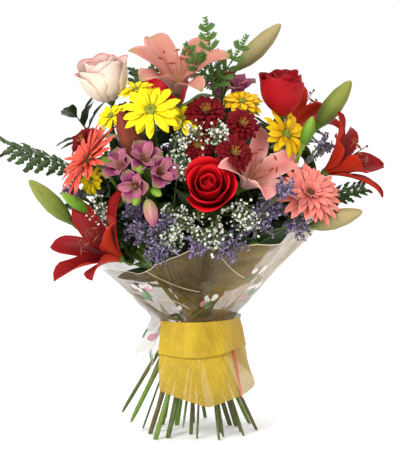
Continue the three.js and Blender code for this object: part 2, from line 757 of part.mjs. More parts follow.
// The cord's turns lie side by side, so they make one grooved band
function cordBand() {
  const reach = cordTurns * cordRadius;
  const inside = (bundleReach(reach) + 0.35) / Math.cos(Math.PI / cordSides);
  const profile = [new THREE.Vector2(inside, reach), new THREE.Vector2(inside, -reach)];
  for (let turn = 0; turn < cordTurns; turn++) {
    const low = -reach + 2 * cordRadius * turn;
    profile.push(new THREE.Vector2(inside + cordRadius, low + cordRadius * 0.3));
    profile.push(new THREE.Vector2(inside + 1.6 * cordRadius, low + cordRadius));
    profile.push(new THREE.Vector2(inside + cordRadius, low + cordRadius * 1.7));
  }
  return solidOfRevolution(profile, cordSides);
}
const cord = keep("binding_cord", cordBand());

// Petals. A petal's line starts at its root and turns from one rise angle to another along its length.
// profile: [share of the length, share of the half width, lift of the edges]
function petalStations({ turn, root, height, length, width, thick, rise, fall, profile }) {
  const out = around(turn, 1, 0);
  const side = around(turn + Math.PI / 2, 1, 0);
  const point = around(turn, root, height);
  const steps = 4;
  let passed = 0;
  return profile.map(([share, half, lift = 0]) => {
    const advance = ((share - passed) * length) / steps;
    for (let k = 0; k < steps; k++) {
      const angle = rad(lerp(rise, fall, passed + ((share - passed) * (k + 0.5)) / steps));
      point.addScaledVector(out, Math.cos(angle) * advance);
      point.addScaledVector(upward, Math.sin(angle) * advance);
    }
    passed = share;
    const angle = rad(lerp(rise, fall, share));
    const up = out.clone().multiplyScalar(-Math.sin(angle)).addScaledVector(upward, Math.cos(angle));
    const size = { half: (half * width) / 2, thick: thick * (0.6 + 0.4 * half), lift: lift * width };
    return { at: point.clone(), side, up, ...size };
  });
}

const strapProfile = [[0, 0.2], [0.7, 1, 0.04], [1, 0]];
const tepalProfile = [[0, 0.16, 0.1], [0.32, 0.8, 0.12], [0.62, 1, 0.06], [0.86, 0.6, 0.05], [1, 0]];
const cupProfile = [[0, 0.2], [0.4, 0.84, 0.15], [0.76, 1, 0.17], [0.94, 0.62, 0.07], [1, 0]];
const floretProfile = [[0, 0.25], [0.6, 1, 0.1], [1, 0]];
const bends = [0, 10, -10, 20, -20, 32, -32, 46];
const petalTries = [1, 0.8, 0.62].flatMap((cut) => bends.map((bend) => ({ bend, cut })));

// One petal of a rosette, added to points and faces. The hub's top and bottom are points 0 and 1.
function addPetal(points, faces, stations, here, next, { dome, folded }) {
  if (dome) faces.push([0, here + 1, next + 1], [here + 1, here, next], [here + 1, next, next + 1]);
  else faces.push([0, here, next]);
  if (!stations) {
    faces.push([1, next, here]);
    return;
  }
  let row = { left: here, keel: 1, right: next, middle: next };
  stations.slice(1).forEach((station, k) => {
    if (station.half === 0) {
      const tip = points.push(station.at) - 1;
      faces.push([row.left, tip, row.middle], [row.left, row.keel, tip], [row.keel, row.right, tip]);
      if (folded) faces.push([row.middle, tip, row.right]);
      return;
    }
    const raised = station.at.clone().addScaledVector(station.up, station.lift);
    const edge = station.side.clone().multiplyScalar(station.half);
    const keel = points.push(station.at.clone().addScaledVector(station.up, -station.thick)) - 1;
    const left = points.push(raised.clone().sub(edge)) - 1;
    const right = points.push(raised.clone().add(edge)) - 1;
    const middle = folded ? points.push(station.at.clone()) - 1 : right;
    faces.push([row.left, keel, left], [row.left, row.keel, keel]);
    faces.push([row.right, right, keel], [row.keel, row.right, keel]);
    faces.push([row.left, left, middle], [row.left, middle, row.middle]);
    if (folded) faces.push([row.middle, middle, right]);
    if (folded && k > 0) faces.push([row.middle, right, row.right]);
    row = { left, keel, right, middle };
  });
}

// A flower as one closed body: petals round a hub with a valley between each two. The levels take turns, so
// that each raised petal lies over the lower ones beside it. A petal that meets another node is bent or cut,
// and left out where that is not enough.
function rosette(node, frame, random, shape) {
  const { count, levels, valley, top, bottom, dome, folded, steepest = 100, ...shared } = shape;
  const step = (2 * Math.PI) / count;
  const corner = (i) => {
    const turn = step * (i - 0.5);
    return dome ? [around(turn, ...valley), around(turn, ...dome)] : [around(turn, ...valley)];
  };
  const size = dome ? 2 : 1;
  const petals = [];
  const outers = [];
  for (let i = 0; i < count; i++) {
    const level = { ...shared, ...levels[i % levels.length] };
    const turn = step * (i + 0.12 * (random() - 0.5));
    const length = level.length * (1 - 0.1 * random());
    const tilt = (random() - 0.5) * (level.scatter ?? 8);
    let outer = null;
    const crossesNone = () => outers.every((other) => other.minGap(outer, 0.2) > 0.1);
    const found = fit(node, petalTries, ({ bend, cut }) => {
      const rise = Math.min(level.rise + tilt + bend, steepest);
      const angles = { rise, fall: level.fall + tilt + bend * 1.2 };
      petals[i] = petalStations({ ...level, ...angles, turn, length: length * cut });
      const points = [vec(0, 0, top), vec(0, 0, bottom), ...corner(i), ...corner(i + 1)];
      const [here, next] = [2, 2 + size];
      const faces = [[0, 1, here], [0, next, 1]];
      if (dome) faces.push([0, here, here + 1], [0, next + 1, next]);
      addPetal(points, faces, petals[i], here, next, { dome, folded });
      outer = blade(petals[i].slice(1), folded);
      return moved(solidFrom(points, faces), frame);
    }, crossesNone);
    if (found) outers.push(outer);
    else petals[i] = null;
  }
  const points = [vec(0, 0, top), vec(0, 0, bottom)];
  const faces = [];
  for (let i = 0; i < count; i++) points.push(...corner(i));
  petals.forEach((stations, i) => {
    addPetal(points, faces, stations, 2 + size * i, 2 + size * ((i + 1) % count), { dome, folded });
  });
  return moved(solidFrom(points, faces), frame);
}

// Solid of revolution about the bloom's axis: [radius, height] pairs from bottom to top
function turned(profile, sides = 8) {
  return loft(
    profile.map(([radius, height]) => {
      if (radius === 0) return [vec(0, 0, height)];
      return Array.from({ length: sides }, (_, i) => around((2 * Math.PI * i) / sides, radius, height));
    }),
  );
}

const hubOf = ({ bottom, valley, dome, top }) =>
  turned([[0, bottom], valley, ...(dome ? [dome] : []), [0, Math.max(top, valley[1] + 0.5)]]);

const headGap = 0.4;
function bloomFrame(name, roll = 0) {
  const { base, aim } = heads[name];
  const rolled = new THREE.Matrix4().makeRotationZ(rad(roll));
  return headFrame(base.clone().addScaledVector(aim, headGap), aim).multiply(rolled);
}

// Petal width that fills a ring at its widest place and leaves a thin gap to the next petal
const ringWidth = (count, reach) => 2 * Math.tan(Math.PI / count) * reach * 0.86;

// Rose: cupped petals in four levels round a tight heart
function roseShape({ radius, shut = 0 }) {
  const unit = radius / 28;
  return {
    count: 12,
    levels: [
      { length: 50 * unit, width: 34 * unit, rise: 30 + 4 * shut, fall: 99 + 4 * shut },
      { length: 46 * unit, width: 19 * unit, rise: 64, fall: 99 },
      { length: 49 * unit, width: 38 * unit, rise: 13 + 12 * shut, fall: 92 + 13 * shut },
      { length: 47 * unit, width: 26 * unit, rise: 48, fall: 99 },
    ],
    root: 3 * unit,
    height: 3 * unit,
    thick: 1.5,
    profile: cupProfile,
    scatter: 3,
    valley: [6.5 * unit, 5 * unit],
    dome: [7 * unit, 34 * unit],
    top: 40 * unit,
    bottom: 0,
    folded: true,
  };
}

function lilyShape({ reach, width }) {
  return {
    count: 6,
    levels: [
      { length: reach, width, rise: 63, fall: 2 },
      { length: reach * 0.96, width: width * 0.78, rise: 57, fall: -8 },
    ],
    root: 1.5,
    height: 3,
    thick: 1.3,
    profile: tepalProfile,
    scatter: 12,
    steepest: 78,
    valley: [5.4, 9],
    top: 5,
    bottom: 0,
    folded: true,
  };
}

function daisyShape({ radius }) {
  const disc = radius * 0.27;
  const count = radius > 22 ? 20 : 16;
  return {
    count,
    levels: [
      { length: radius * 0.86, rise: 6, fall: -6 },
      { length: radius * 0.76, rise: 24, fall: 12 },
    ],
    root: disc * 0.6,
    height: 4.4,
    thick: 1.1,
    width: 2.1 * ringWidth(count, radius * 0.68),
    profile: strapProfile,
    valley: [disc, 4.8],
    dome: [disc * 0.72, 8.4],
    top: 8.8,
    bottom: 0,
  };
}

function mumShape({ radius }) {
  const heart = radius * 0.3;
  const count = 18;
  return {
    count,
    levels: [
      { length: radius * 0.84, rise: 0, fall: -16 },
      { length: radius * 0.7, rise: 30, fall: 18 },
      { length: radius * 0.82, rise: -2, fall: -20 },
      { length: radius * 0.52, rise: 58, fall: 46 },
    ],
    root: heart * 0.6,
    height: radius * 0.26,
    thick: 1.2,
    width: 2.2 * ringWidth(count, radius * 0.66),
    profile: strapProfile,
    valley: [heart, radius * 0.28],
    dome: [heart * 0.7, radius * 0.44],
    top: radius * 0.52,
    bottom: 0,
  };
}

function gerberaShape({ radius }) {
  const disc = radius * 0.25;
  const count = 32;
  return {
    count,
    levels: [
      { length: radius * 0.82, rise: 4, fall: -2 },
      { length: radius * 0.62, rise: 18, fall: 8 },
    ],
    root: disc * 0.7,
    height: 4.6,
    thick: 1.1,
    width: 2.1 * ringWidth(count, radius * 0.68),
    profile: strapProfile,
    valley: [disc, 5],
    dome: [disc * 0.8, 8.6],
    top: 9.2,
    bottom: 0,
  };
}

const floretShape = {
  count: 6,
  levels: [
    { length: 26, width: 13, rise: 66, fall: 24 },
    { length: 28, width: 9, rise: 74, fall: 34 },
  ],
  root: 0.8,
  height: 4,
  thick: 1,
  profile: floretProfile,
  valley: [3, 8],
  top: 5,
  bottom: -1,
};

// Stamens: slim filaments that end in a thicker anther
function lilyStamens(name, frame, random) {
  return Array.from({ length: 6 }, (_, i) => {
    const turn = (2 * Math.PI * (i + 0.5 * random())) / 6 + 0.3;
    return fit(name, [1, 0.8, 0.6], (cut) => {
      const line = [[0.9, 3.5], [5.5, 28], [9 * cut, 42 * cut], [11 * cut, 50 * cut]];
      return moved(tube(line.map(([out, up]) => around(turn, out, up)), [0.8, 0.6, 1.9, 0.6], 3), frame);
    });
  });
}

// The hubs go in before any petal, so that no petal of a neighbour runs through one
const kinds = [
  [roses, roseShape],
  [lilies, lilyShape],
  [gerberas, gerberaShape],
  [daisies, daisyShape],
  [mums, mumShape],
];
const blooms = kinds.flatMap(([table, shapeOf]) =>
  Object.entries(table).map(([name, spec]) => {
    return { name, spec, shape: shapeOf(spec), frame: bloomFrame(name, spec.roll) };
  }),
);
for (const { name, shape, frame } of blooms) keep(name, moved(hubOf(shape), frame));
for (const { name, spec, shape, frame } of blooms) {
  const random = seeded(spec.seed);
  const solids = [rosette(name, frame, random, shape)];
  if (lilies[name]) solids.push(...lilyStamens(name, frame, random));
  addNode(name, solids, spec.colour, lilies[name] ? 0.45 : 0.7);
}

// Green work on the stems: calyx, buds and leaves are fused to their stem
function buildBud(node, name) {
  const { from, to, radius } = buds[name];
  const aim = heads[name].aim;
  const length = at(from).distanceTo(at(to));
  const shape = [[0.35, -1], [0.75, 0.16], [1, 0.42], [0.72, 0.74], [0, 1]];
  const profile = shape.map(([r, share]) => [r * radius, share < 0 ? -1.5 : share * length]);
  return fit(node, [1, 0.85, 0.7, 0.55], (thin) => {
    const slim = profile.map(([r, height]) => [r * thin, height]);
    return moved(turned(slim, 6), headFrame(at(from), aim));
  });
}

function buildCalyx(node, name, count, length) {
  const { base, aim } = heads[name];
  const frame = headFrame(base.clone().addScaledVector(aim, -1), aim);
  const sepal = { root: 0.6, height: -1.4, length, width: 7, thick: 1, profile: strapProfile };
  return Array.from({ length: count }, (_, i) => {
    const turn = (2 * Math.PI * (i + 0.3)) / count;
    return fit(node, [-12, -30, -50, -68], (rise) =>
      moved(blade(petalStations({ ...sepal, turn, rise, fall: rise - 20 })), frame),
    );
  });
}

const leafProfile = [[0, 0.12], [0.4, 1, 0.1], [1, 0]];
const roseLeafProfile = [[0, 0.1], [0.3, 1, 0.06], [0.62, 0.86, 0.05], [1, 0]];

function leafAt(node, place, along, turn, { length, width, profile, lean }) {
  const frame = headFrame(place, along);
  const tries = [];
  for (const cut of [1, 0.75]) {
    for (const roll of [0, 40, -40, 80, -80, 140]) {
      for (const bend of [0, 22]) tries.push({ cut, roll, bend });
    }
  }
  return fit(node, tries, ({ cut, roll, bend }) => {
    const stations = petalStations({
      turn: turn + rad(roll),
      root: 0.3,
      height: -0.6,
      length: length * cut,
      width,
      thick: 1,
      rise: lean + bend,
      fall: lean + bend - 34,
      profile,
    });
    return moved(blade(stations, true), frame);
  });
}

function stemLeaves(node, count, kind, random) {
  const stem = strands.find((strand) => strand.node === node && strand.part === "stem");
  const solids = [];
  const points = stem.points;
  const low = points.findIndex((p) => p.z > 70);
  for (let i = 0; i < count; i++) {
    const share = (i + 0.5) / count;
    const position = lerp(Math.max(low, 4), points.length - 1.4, share);
    const index = Math.min(Math.floor(position), points.length - 2);
    const place = points[index].clone().lerp(points[index + 1], position - index);
    const along = points[index + 1].clone().sub(points[index]).normalize();
    solids.push(leafAt(node, place, along, random() * 2 * Math.PI, kind));
  }
  return solids;
}

// Mist flowers: a branching spray whose twigs end in small balls or in short one-sided horns
function buildMist(name, { at: place, spread, count, kind, colour, seed }) {
  const random = seeded(seed);
  const centre = at(place);
  const end = strands.find((strand) => strand.node === name).points.at(-1);
  const solids = [...tubes[name]];
  const branches = [];
  for (let i = 0; i < 3; i++) {
    const branch = fit(name, Array.from({ length: 12 }), () => {
      const stray = vec(random() - 0.5, random() - 0.5, random() - 0.5).multiplyScalar(spread);
      const target = centre.clone().add(stray);
      const elbow = end.clone().lerp(target, 0.5).add(vec(0, 0, 5));
      branches[i] = [end.clone().addScaledVector(end.clone().normalize(), -2), elbow, target];
      return tube(branches[i], [1.1, 0.9, 0.7], 3);
    });
    if (branch) solids.push(branch);
    else branches[i] = null;
  }
  const open = branches.filter(Boolean);
  const own = [];
  let made = 0;
  for (let attempt = 0; attempt < count * 30 && made < count && open.length; attempt++) {
    const branch = open[attempt % open.length];
    const along = 0.25 + 0.75 * random();
    const start = branch[1].clone().lerp(branch[2], along);
    const step = vec(random() - 0.5, random() - 0.5, random() - 0.2).normalize();
    const tip = start.clone().addScaledVector(step, spread * (0.2 + 0.3 * random()));
    const root = start.clone().addScaledVector(step, -0.4);
    const line = kind === "ball" ? [root, tip] : [root];
    const [swell, reach, widest] = kind === "ball" ? [3.3, 6.6, 3.4] : [-1.5, 3.5, 2.6];
    line.push(tip.clone().addScaledVector(step, swell), tip.clone().addScaledVector(step, reach));
    const floret = tube(line, kind === "ball" ? [0.6, 0.6, widest, 0.4] : [0.6, widest, 0.7], 3);
    if (!clears(name, floret) || own.some((other) => other.minGap(floret, 0.3) < 0.2)) continue;
    own.push(keep(name, floret));
    made += 1;
  }
  solids.push(...own);
  addNode(name, solids, colour);
}

// Fern frond: pairs of cut leaflets on a rib
const leafletProfile = [[0, 0.3], [0.35, 1], [1, 0]];

function ribOf(name) {
  const strand = strands.find(({ node }) => node === name);
  return strand.points.slice(strand.ribFrom);
}

function alongLine(points, share) {
  const position = Math.min(share, 0.999) * (points.length - 1);
  const index = Math.floor(position);
  const place = points[index].clone().lerp(points[index + 1], position - index);
  return { place, along: points[index + 1].clone().sub(points[index]).normalize() };
}

function addLeaflets(solids, name, rib, random, { pairs, length, face }) {
  for (let i = 0; i <= pairs; i++) {
    const share = 0.05 + (0.95 * i) / pairs;
    const { place, along } = alongLine(rib, share);
    const across = along.clone().cross(aimVector(face)).normalize();
    const size = length * Math.sin(Math.PI * (0.3 + 0.62 * (1 - share))) * (1 - 0.12 * random());
    for (const sign of i === pairs ? [0] : [1, -1]) {
      const leaflet = fit(name, [0, 12, -12, 26, -26, 44, -44], (bend) => {
        const out = across.clone().multiplyScalar(sign).addScaledVector(along, sign ? 0.5 : 1).normalize();
        out.applyAxisAngle(along, rad(bend * (sign || 1)));
        const level = out.clone().cross(along).multiplyScalar(sign).normalize();
        const up = sign ? level : across.clone().cross(along);
        const side = up.clone().cross(out).normalize();
        const stations = leafletProfile.map(([s, half]) => ({
          at: place.clone().addScaledVector(out, size * s - 0.4),
          side,
          up,
          half: half * size * 0.22,
          thick: 0.9,
        }));
        return blade(stations);
      });
      solids.push(leaflet);
    }
  }
}

function buildFrond(name, { branches = [], seed, ...leaflets }) {
  const random = seeded(seed);
  const rib = ribOf(name);
  const solids = [...tubes[name]];
  addLeaflets(solids, name, rib, random, leaflets);
  const fewer = { ...leaflets, pairs: leaflets.pairs - 2, length: leaflets.length * 0.8 };
  for (const { from, to } of branches) {
    const line = new THREE.CatmullRomCurve3([alongLine(rib, from).place, ...to.map(at)]).getPoints(3);
    const twig = fit(name, [1, 0.8], (thin) => tube(line, [1.1, 0.9, 0.7, 0.4].map((r) => r * thin), 3));
    if (!twig) continue;
    solids.push(twig);
    addLeaflets(solids, name, line, random, fewer);
  }
  addNode(name, solids, green);
}

function buildLeafSpray(name, { count, length, seed }) {
  const random = seeded(seed);
  const rib = ribOf(name);
  const solids = [...tubes[name]];
  const kind = { length, width: length * 0.42, profile: roseLeafProfile, lean: 36 };
  for (let i = 0; i < count; i++) {
    const { place, along } = alongLine(rib, (i + 0.8) / count);
    solids.push(leafAt(name, place, along, i * 2.4 + random(), kind));
  }
  addNode(name, solids, green);
}

// Alstroemeria: florets of six petals, fused to their stem
function buildFloret(node, name, random) {
  const { base, aim } = heads[name];
  const frame = headFrame(base.clone().addScaledVector(aim, -2), aim);
  return rosette(node, frame, random, floretShape);
}

const lilyLeaf = { length: 62, width: 15, profile: leafProfile, lean: 40 };
const roseLeaf = { length: 42, width: 22, profile: roseLeafProfile, lean: 32 };
const cutLeaf = { length: 34, width: 18, profile: roseLeafProfile, lean: 42 };
for (const [name, spec] of Object.entries(stems)) {
  const random = seeded(name.length * 7 + spec.heads.length);
  const solids = [...tubes[name]];
  let kind = lilyLeaf;
  if (name.includes("rose")) kind = roseLeaf;
  if (name.includes("daisy") || name.includes("mum")) kind = cutLeaf;
  for (const head of spec.heads) {
    if (buds[head]) solids.push(buildBud(name, head));
    if (head.startsWith("floret")) solids.push(buildFloret(name, head, random));
    if (roses[head]) solids.push(...buildCalyx(name, head, 5, 22));
  }
  solids.push(...stemLeaves(name, spec.leaves, kind, random));
  addNode(name, solids, name.startsWith("alstro") ? 0xb0507c : stemGreen);
}
for (const [name, spec] of Object.entries(fronds)) buildFrond(name, spec);
for (const [name, spec] of Object.entries(mists)) buildMist(name, spec);
for (const [name, spec] of Object.entries(leafSprays)) buildLeafSpray(name, spec);
addNode("wrapper", [film], 0xc9b48a, 0.15);
addNode("mesh_wrap", [wrapMain, wrapFlap], 0xd8b526, 0.8);
addNode("binding_cord", [cord], 0xb59a6a, 0.8);

// The origin is the middle of the bottom of the bouquet's box
const extent = new THREE.Box3().setFromObject(root);
const middle = extent.getCenter(vec(0, 0, 0));
root.position.set(-middle.x, -middle.y, -extent.min.z);

export default root;
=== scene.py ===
import math
import random

import bmesh
import bpy
import numpy as np
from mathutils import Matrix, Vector
from mathutils.bvhtree import BVHTree


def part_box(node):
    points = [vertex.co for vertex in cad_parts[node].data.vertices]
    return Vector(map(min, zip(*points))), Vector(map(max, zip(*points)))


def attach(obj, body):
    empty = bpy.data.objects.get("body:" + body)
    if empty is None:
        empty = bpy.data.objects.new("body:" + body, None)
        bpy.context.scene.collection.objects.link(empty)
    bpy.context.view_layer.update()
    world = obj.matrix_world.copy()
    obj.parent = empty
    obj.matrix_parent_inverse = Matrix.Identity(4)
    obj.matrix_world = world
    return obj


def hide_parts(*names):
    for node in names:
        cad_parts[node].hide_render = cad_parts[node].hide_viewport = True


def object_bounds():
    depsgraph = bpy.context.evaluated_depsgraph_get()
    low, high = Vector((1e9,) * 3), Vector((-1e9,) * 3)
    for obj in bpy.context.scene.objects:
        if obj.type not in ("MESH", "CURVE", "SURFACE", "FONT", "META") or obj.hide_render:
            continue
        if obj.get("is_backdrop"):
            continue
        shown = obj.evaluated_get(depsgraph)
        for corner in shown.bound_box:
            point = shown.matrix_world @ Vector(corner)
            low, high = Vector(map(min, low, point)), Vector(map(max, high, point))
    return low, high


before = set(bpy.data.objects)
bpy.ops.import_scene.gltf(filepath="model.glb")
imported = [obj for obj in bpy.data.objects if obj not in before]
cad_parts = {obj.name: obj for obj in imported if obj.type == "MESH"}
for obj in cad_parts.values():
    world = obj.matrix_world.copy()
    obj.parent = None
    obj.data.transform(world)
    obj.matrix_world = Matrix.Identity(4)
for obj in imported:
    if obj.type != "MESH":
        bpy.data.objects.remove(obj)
cadLow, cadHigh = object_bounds()
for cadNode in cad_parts.values():
    cadNode.select_set(False)

# Everything is worked out in millimetres from the tie, where the stems cross
cordLow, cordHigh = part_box("binding_cord")
tie = np.array((cordLow + cordHigh) / 2) * 1000
fullTurn = 2 * math.pi
roughTurn = 6.28  # a full turn, as the ruffles and their draws count it


# Shader maths: a wire is one output socket, and an expression on wires adds its Math nodes
class Wire:
    def __init__(self, paint, socket):
        self.paint, self.socket = paint, socket

    def maths(self, operation, first, second):
        return self.paint.node("Math", {"operation": operation}, {0: first, 1: second})

    def __add__(self, other):
        return self.maths("ADD", self, other)

    def __radd__(self, other):
        return self.maths("ADD", other, self)

    def __sub__(self, other):
        return self.maths("SUBTRACT", self, other)

    def __rsub__(self, other):
        return self.maths("SUBTRACT", other, self)

    def __mul__(self, other):
        return self.maths("MULTIPLY", self, other)

    def __rmul__(self, other):
        return self.maths("MULTIPLY", other, self)

    def __truediv__(self, other):
        return self.maths("DIVIDE", self, other)

    def __pow__(self, other):
        return self.maths("POWER", self, other)

    def __gt__(self, other):
        return self.maths("GREATER_THAN", self, other)

    def __abs__(self):
        return self.maths("ABSOLUTE", self, 0)


def linear(colour):
    # whole numbers are a screen colour from 0 to 255, others are linear already
    if isinstance(colour[0], float):
        return colour
    parts = [part / 255 for part in colour]
    return tuple(p / 12.92 if p <= 0.04045 else ((p + 0.055) / 1.055) ** 2.4 for p in parts)


class Paint:
    def __init__(self, name, roughness=0.5, **fixed):
        self.material = bpy.data.materials.new(name)
        self.material.use_nodes = True
        self.tree = self.material.node_tree
        self.shader = self.tree.nodes["Principled BSDF"]
        self.set(Roughness=roughness, **fixed)

    def node(self, kind, settings=None, sockets=None, output=0):
        made = self.tree.nodes.new("ShaderNode" + kind)
        for key, value in (settings or {}).items():
            if key == "stops":
                elements = made.color_ramp.elements
                for i, (place, colour) in enumerate(value):
                    element = elements[i] if i < 2 else elements.new(place)
                    element.position = place
                    element.color = (*linear(colour), 1)
            else:
                setattr(made, key, value)
        for key, value in (sockets or {}).items():
            self.join(made.inputs[key], value)
        return Wire(self, made.outputs[output])

    def join(self, target, value):
        if isinstance(value, Wire):
            self.tree.links.new(value.socket, target)
        elif isinstance(value, tuple):
            target.default_value = (*linear(value), 1)
        else:
            target.default_value = value

    def set(self, **sockets):
        for key, value in sockets.items():
            self.join(self.shader.inputs[key.replace("_", " ")], value)
        return self.material

    def mix(self, factor, first, second, blend="MIX"):
        settings = {"data_type": "RGBA", "blend_type": blend, "clamp_factor": True}
        return self.node("Mix", settings, {0: factor, 6: first, 7: second}, 2)

    def ramp(self, factor, stops, ease="LINEAR"):
        made = self.node("ValToRGB", {"stops": stops}, {0: factor})
        made.socket.node.color_ramp.interpolation = ease
        return made

    def clamp(self, value, low, high):
        return self.node("MapRange", {}, {0: value, 1: low, 2: high, 3: 0.0, 4: 1.0})

    def vector(self, x, y, z=0.0):
        return self.node("CombineXYZ", {}, {0: x, 1: y, 2: z})

    def split(self, vector):
        return [self.node("SeparateXYZ", {}, {0: vector}, k) for k in range(3)]

    def place(self):
        return self.node("TexCoord", {}, {}, 3)

    def uv(self):
        return self.split(self.node("UVMap", {"uv_map": "UVMap"}))[:2]

    def tone(self):
        return self.split(self.node("Attribute", {"attribute_name": "tone"}, {}, 1))

    def noise(self, vector, scale, detail=2.0, rough=0.5, distortion=0.0):
        sockets = {"Scale": scale, "Detail": detail, "Roughness": rough, "Distortion": distortion}
        return self.node("TexNoise", {}, {"Vector": vector, **sockets})

    def bump(self, height, strength, distance):
        return self.node("Bump", {}, {"Strength": strength, "Distance": distance, "Height": height})


# A pile gathers shapes for one piece; build() makes it one object.
# A tone is shade, layer and face; a single number is the shade alone.
class Pile:
    def __init__(self):
        self.points, self.uvs, self.tones, self.faces, self.slots = [], [], [], [], []
        self.size = 0

    def add(self, points, faces, uv=None, tone=0.5, slot=0):
        count = len(points)
        tones = np.ones((count, 4))
        tones[:, :3] = tone if np.ndim(tone) else (tone, 0.5, 0.5)
        self.points.append(points)
        self.uvs.append(np.zeros((count, 2)) if uv is None else uv)
        self.tones.append(tones)
        self.faces.extend([tuple([i + self.size for i in face]) for face in faces])
        self.slots.extend([slot] * len(faces))
        self.size += count

    def build(self, name, materials, node):
        points = (np.concatenate(self.points) + tie) / 1000
        first, *others = name.split("_")
        name = first + "".join(part.capitalize() for part in others)
        mesh = bpy.data.meshes.new(name)
        mesh.from_pydata(points.tolist(), [], self.faces)
        mesh.polygons.foreach_set("material_index", self.slots)
        mesh.polygons.foreach_set("use_smooth", [True] * len(self.faces))
        corners = np.empty(len(mesh.loops), np.int32)
        mesh.loops.foreach_get("vertex_index", corners)
        layer = mesh.uv_layers.new(name="UVMap")
        layer.data.foreach_set("uv", np.concatenate(self.uvs)[corners].ravel())
        tones = mesh.attributes.new("tone", "FLOAT_COLOR", "POINT")
        tones.data.foreach_set("color", np.concatenate(self.tones).ravel())
        for material in materials:
            mesh.materials.append(material)
        piece = bpy.data.objects.new(name, mesh)
        bpy.context.collection.objects.link(piece)
        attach(piece, "root")
        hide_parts(node)
        return piece


# Unit shapes, modelled once and then copied
def takeMesh():
    piece = bpy.context.object
    points = np.array([vertex.co for vertex in piece.data.vertices])
    faces = [tuple(polygon.vertices) for polygon in piece.data.polygons]
    bpy.data.objects.remove(piece)
    return points, faces


def unitShape(add, **sizes):
    bpy.ops.object.select_all(action="DESELECT")
    add(**sizes)
    return takeMesh()


def unitPetal(across, along):
    bpy.ops.object.select_all(action="DESELECT")
    bpy.ops.mesh.primitive_grid_add(x_subdivisions=across, y_subdivisions=along, size=2)
    solid = bpy.context.object.modifiers.new("wall", "SOLIDIFY")
    solid.thickness, solid.offset = 2, 0
    bpy.ops.object.modifier_apply(modifier="wall")
    points, faces = takeMesh()
    points[:, 1] = (points[:, 1] + 1) / 2
    points[:, 2] = np.sign(points[:, 2])
    return points, faces


def unitTube(sides, rings):
    bpy.ops.object.select_all(action="DESELECT")
    bpy.ops.mesh.primitive_cylinder_add(vertices=sides, radius=1, depth=2)
    bpy.ops.object.mode_set(mode="EDIT")
    for ring in range(1, rings):
        bpy.ops.mesh.select_all(action="SELECT")
        bpy.ops.mesh.bisect(plane_co=(0, 0, -1 + 2 * ring / rings), plane_no=(0, 0, 1))
    bpy.ops.object.mode_set(mode="OBJECT")
    points, faces = takeMesh()
    points[:, 2] = (points[:, 2] + 1) / 2
    return points, faces


rosePetal = unitPetal(8, 12)
lilyPetal = unitPetal(6, 14)
rayPetal = unitPetal(4, 6)
smallPetal = unitPetal(2, 5)
leafGrid = unitPetal(4, 10)
cutGrid = unitPetal(2, 26)
coarse = unitPetal(2, 4)
ball = unitShape(bpy.ops.mesh.primitive_ico_sphere_add, subdivisions=1, radius=1)
dome = unitShape(bpy.ops.mesh.primitive_uv_sphere_add, segments=20, ring_count=10, radius=1)
budShape = unitShape(bpy.ops.mesh.primitive_uv_sphere_add, segments=24, ring_count=18, radius=1)
twig = unitTube(5, 6)
finger = unitTube(6, 4)
horn = unitTube(5, 2)


def table(keys, rows):
    # rows of bare values under one line of names
    return {name: dict(zip(keys.split(), row)) for name, row in rows.items()}


def swing(draw, size):
    return draw.uniform(-size, size)


def upto(value, low, high):
    share = np.clip((value - low) / (high - low), 0, 1)
    return share * share * (3 - 2 * share)


def around(turn, radius, height):
    return np.array([math.cos(turn) * radius, math.sin(turn) * radius, height])


def unit(vector):
    return vector / np.linalg.norm(vector)


def aimVector(aim):
    right, up = (math.radians(value) for value in aim)
    return np.array([math.sin(right) * math.cos(up), -math.cos(right) * math.cos(up), math.sin(up)])


def headFrame(place, aim):
    side = np.cross((0, 0, 1), aim)
    side = unit(side) if np.linalg.norm(side) > 1e-3 else np.array([1.0, 0, 0])
    return np.array([side, np.cross(aim, side), aim]), np.array(place, float)


def put(points, spot):
    basis, place = spot
    return points @ basis + place


# A petal on its unit grid. Its line turns from one rise angle to another; curl wraps it round that line.
def petalOn(grid, *, turn=0, root=0, height=0, length=20, width=8, rise=0, fall=0, profile, curl=0.2,
            hug=0, thick=0.5, bend=1.0, lip=0, lipFrom=0.72, wave=(0, 0, 0), fold=0, notch=0, **rest):
    u, v, w = grid[0].T
    steps = np.linspace(0, 1, 33)
    angles = np.radians(rise + (fall - rise) * steps**bend - lip * upto(steps, lipFrom, 1))
    middle = (angles[1:] + angles[:-1]) / 2
    outward = root + length * np.concatenate([[0], np.cumsum(np.cos(middle)) / 32])
    upward = height + length * np.concatenate([[0], np.cumsum(np.sin(middle)) / 32])
    v = np.clip(v - notch * np.abs(u) ** 3 * 0.2 * v, 0, 1)
    x, z, angle = (np.interp(v, steps, line) for line in (outward, upward, angles))
    half = width / 2 * np.interp(v, *zip(*profile))
    wrap = np.minimum(half / np.maximum(x, 1.5) * hug, 2.4) if hug else np.full_like(v, curl)
    turned = u * wrap
    side = np.where(wrap > 1e-3, half * np.sin(turned) / np.maximum(wrap, 1e-3), half * u)
    lift = np.where(wrap > 1e-3, half * (1 - np.cos(turned)) / np.maximum(wrap, 1e-3), 0)
    size, count, phase = wave
    ruffle = size * np.sin(count * v * roughTurn + phase + 1.7 * u) * np.abs(u) ** 1.5
    wall = w * thick / 2 * (0.35 + 0.65 * (1 - u * u))
    lift = lift + fold * half * np.abs(u) + ruffle + wall * np.cos(turned)
    side = side - wall * np.sin(turned)
    x = x - np.sin(angle) * lift
    z = z + np.cos(angle) * lift
    cosTurn, sinTurn = math.cos(turn), math.sin(turn)
    return np.column_stack([x * cosTurn - side * sinTurn, x * sinTurn + side * cosTurn, z])


def gridUv(grid):
    return np.column_stack([(grid[0][:, 0] + 1) / 2, grid[0][:, 1]])


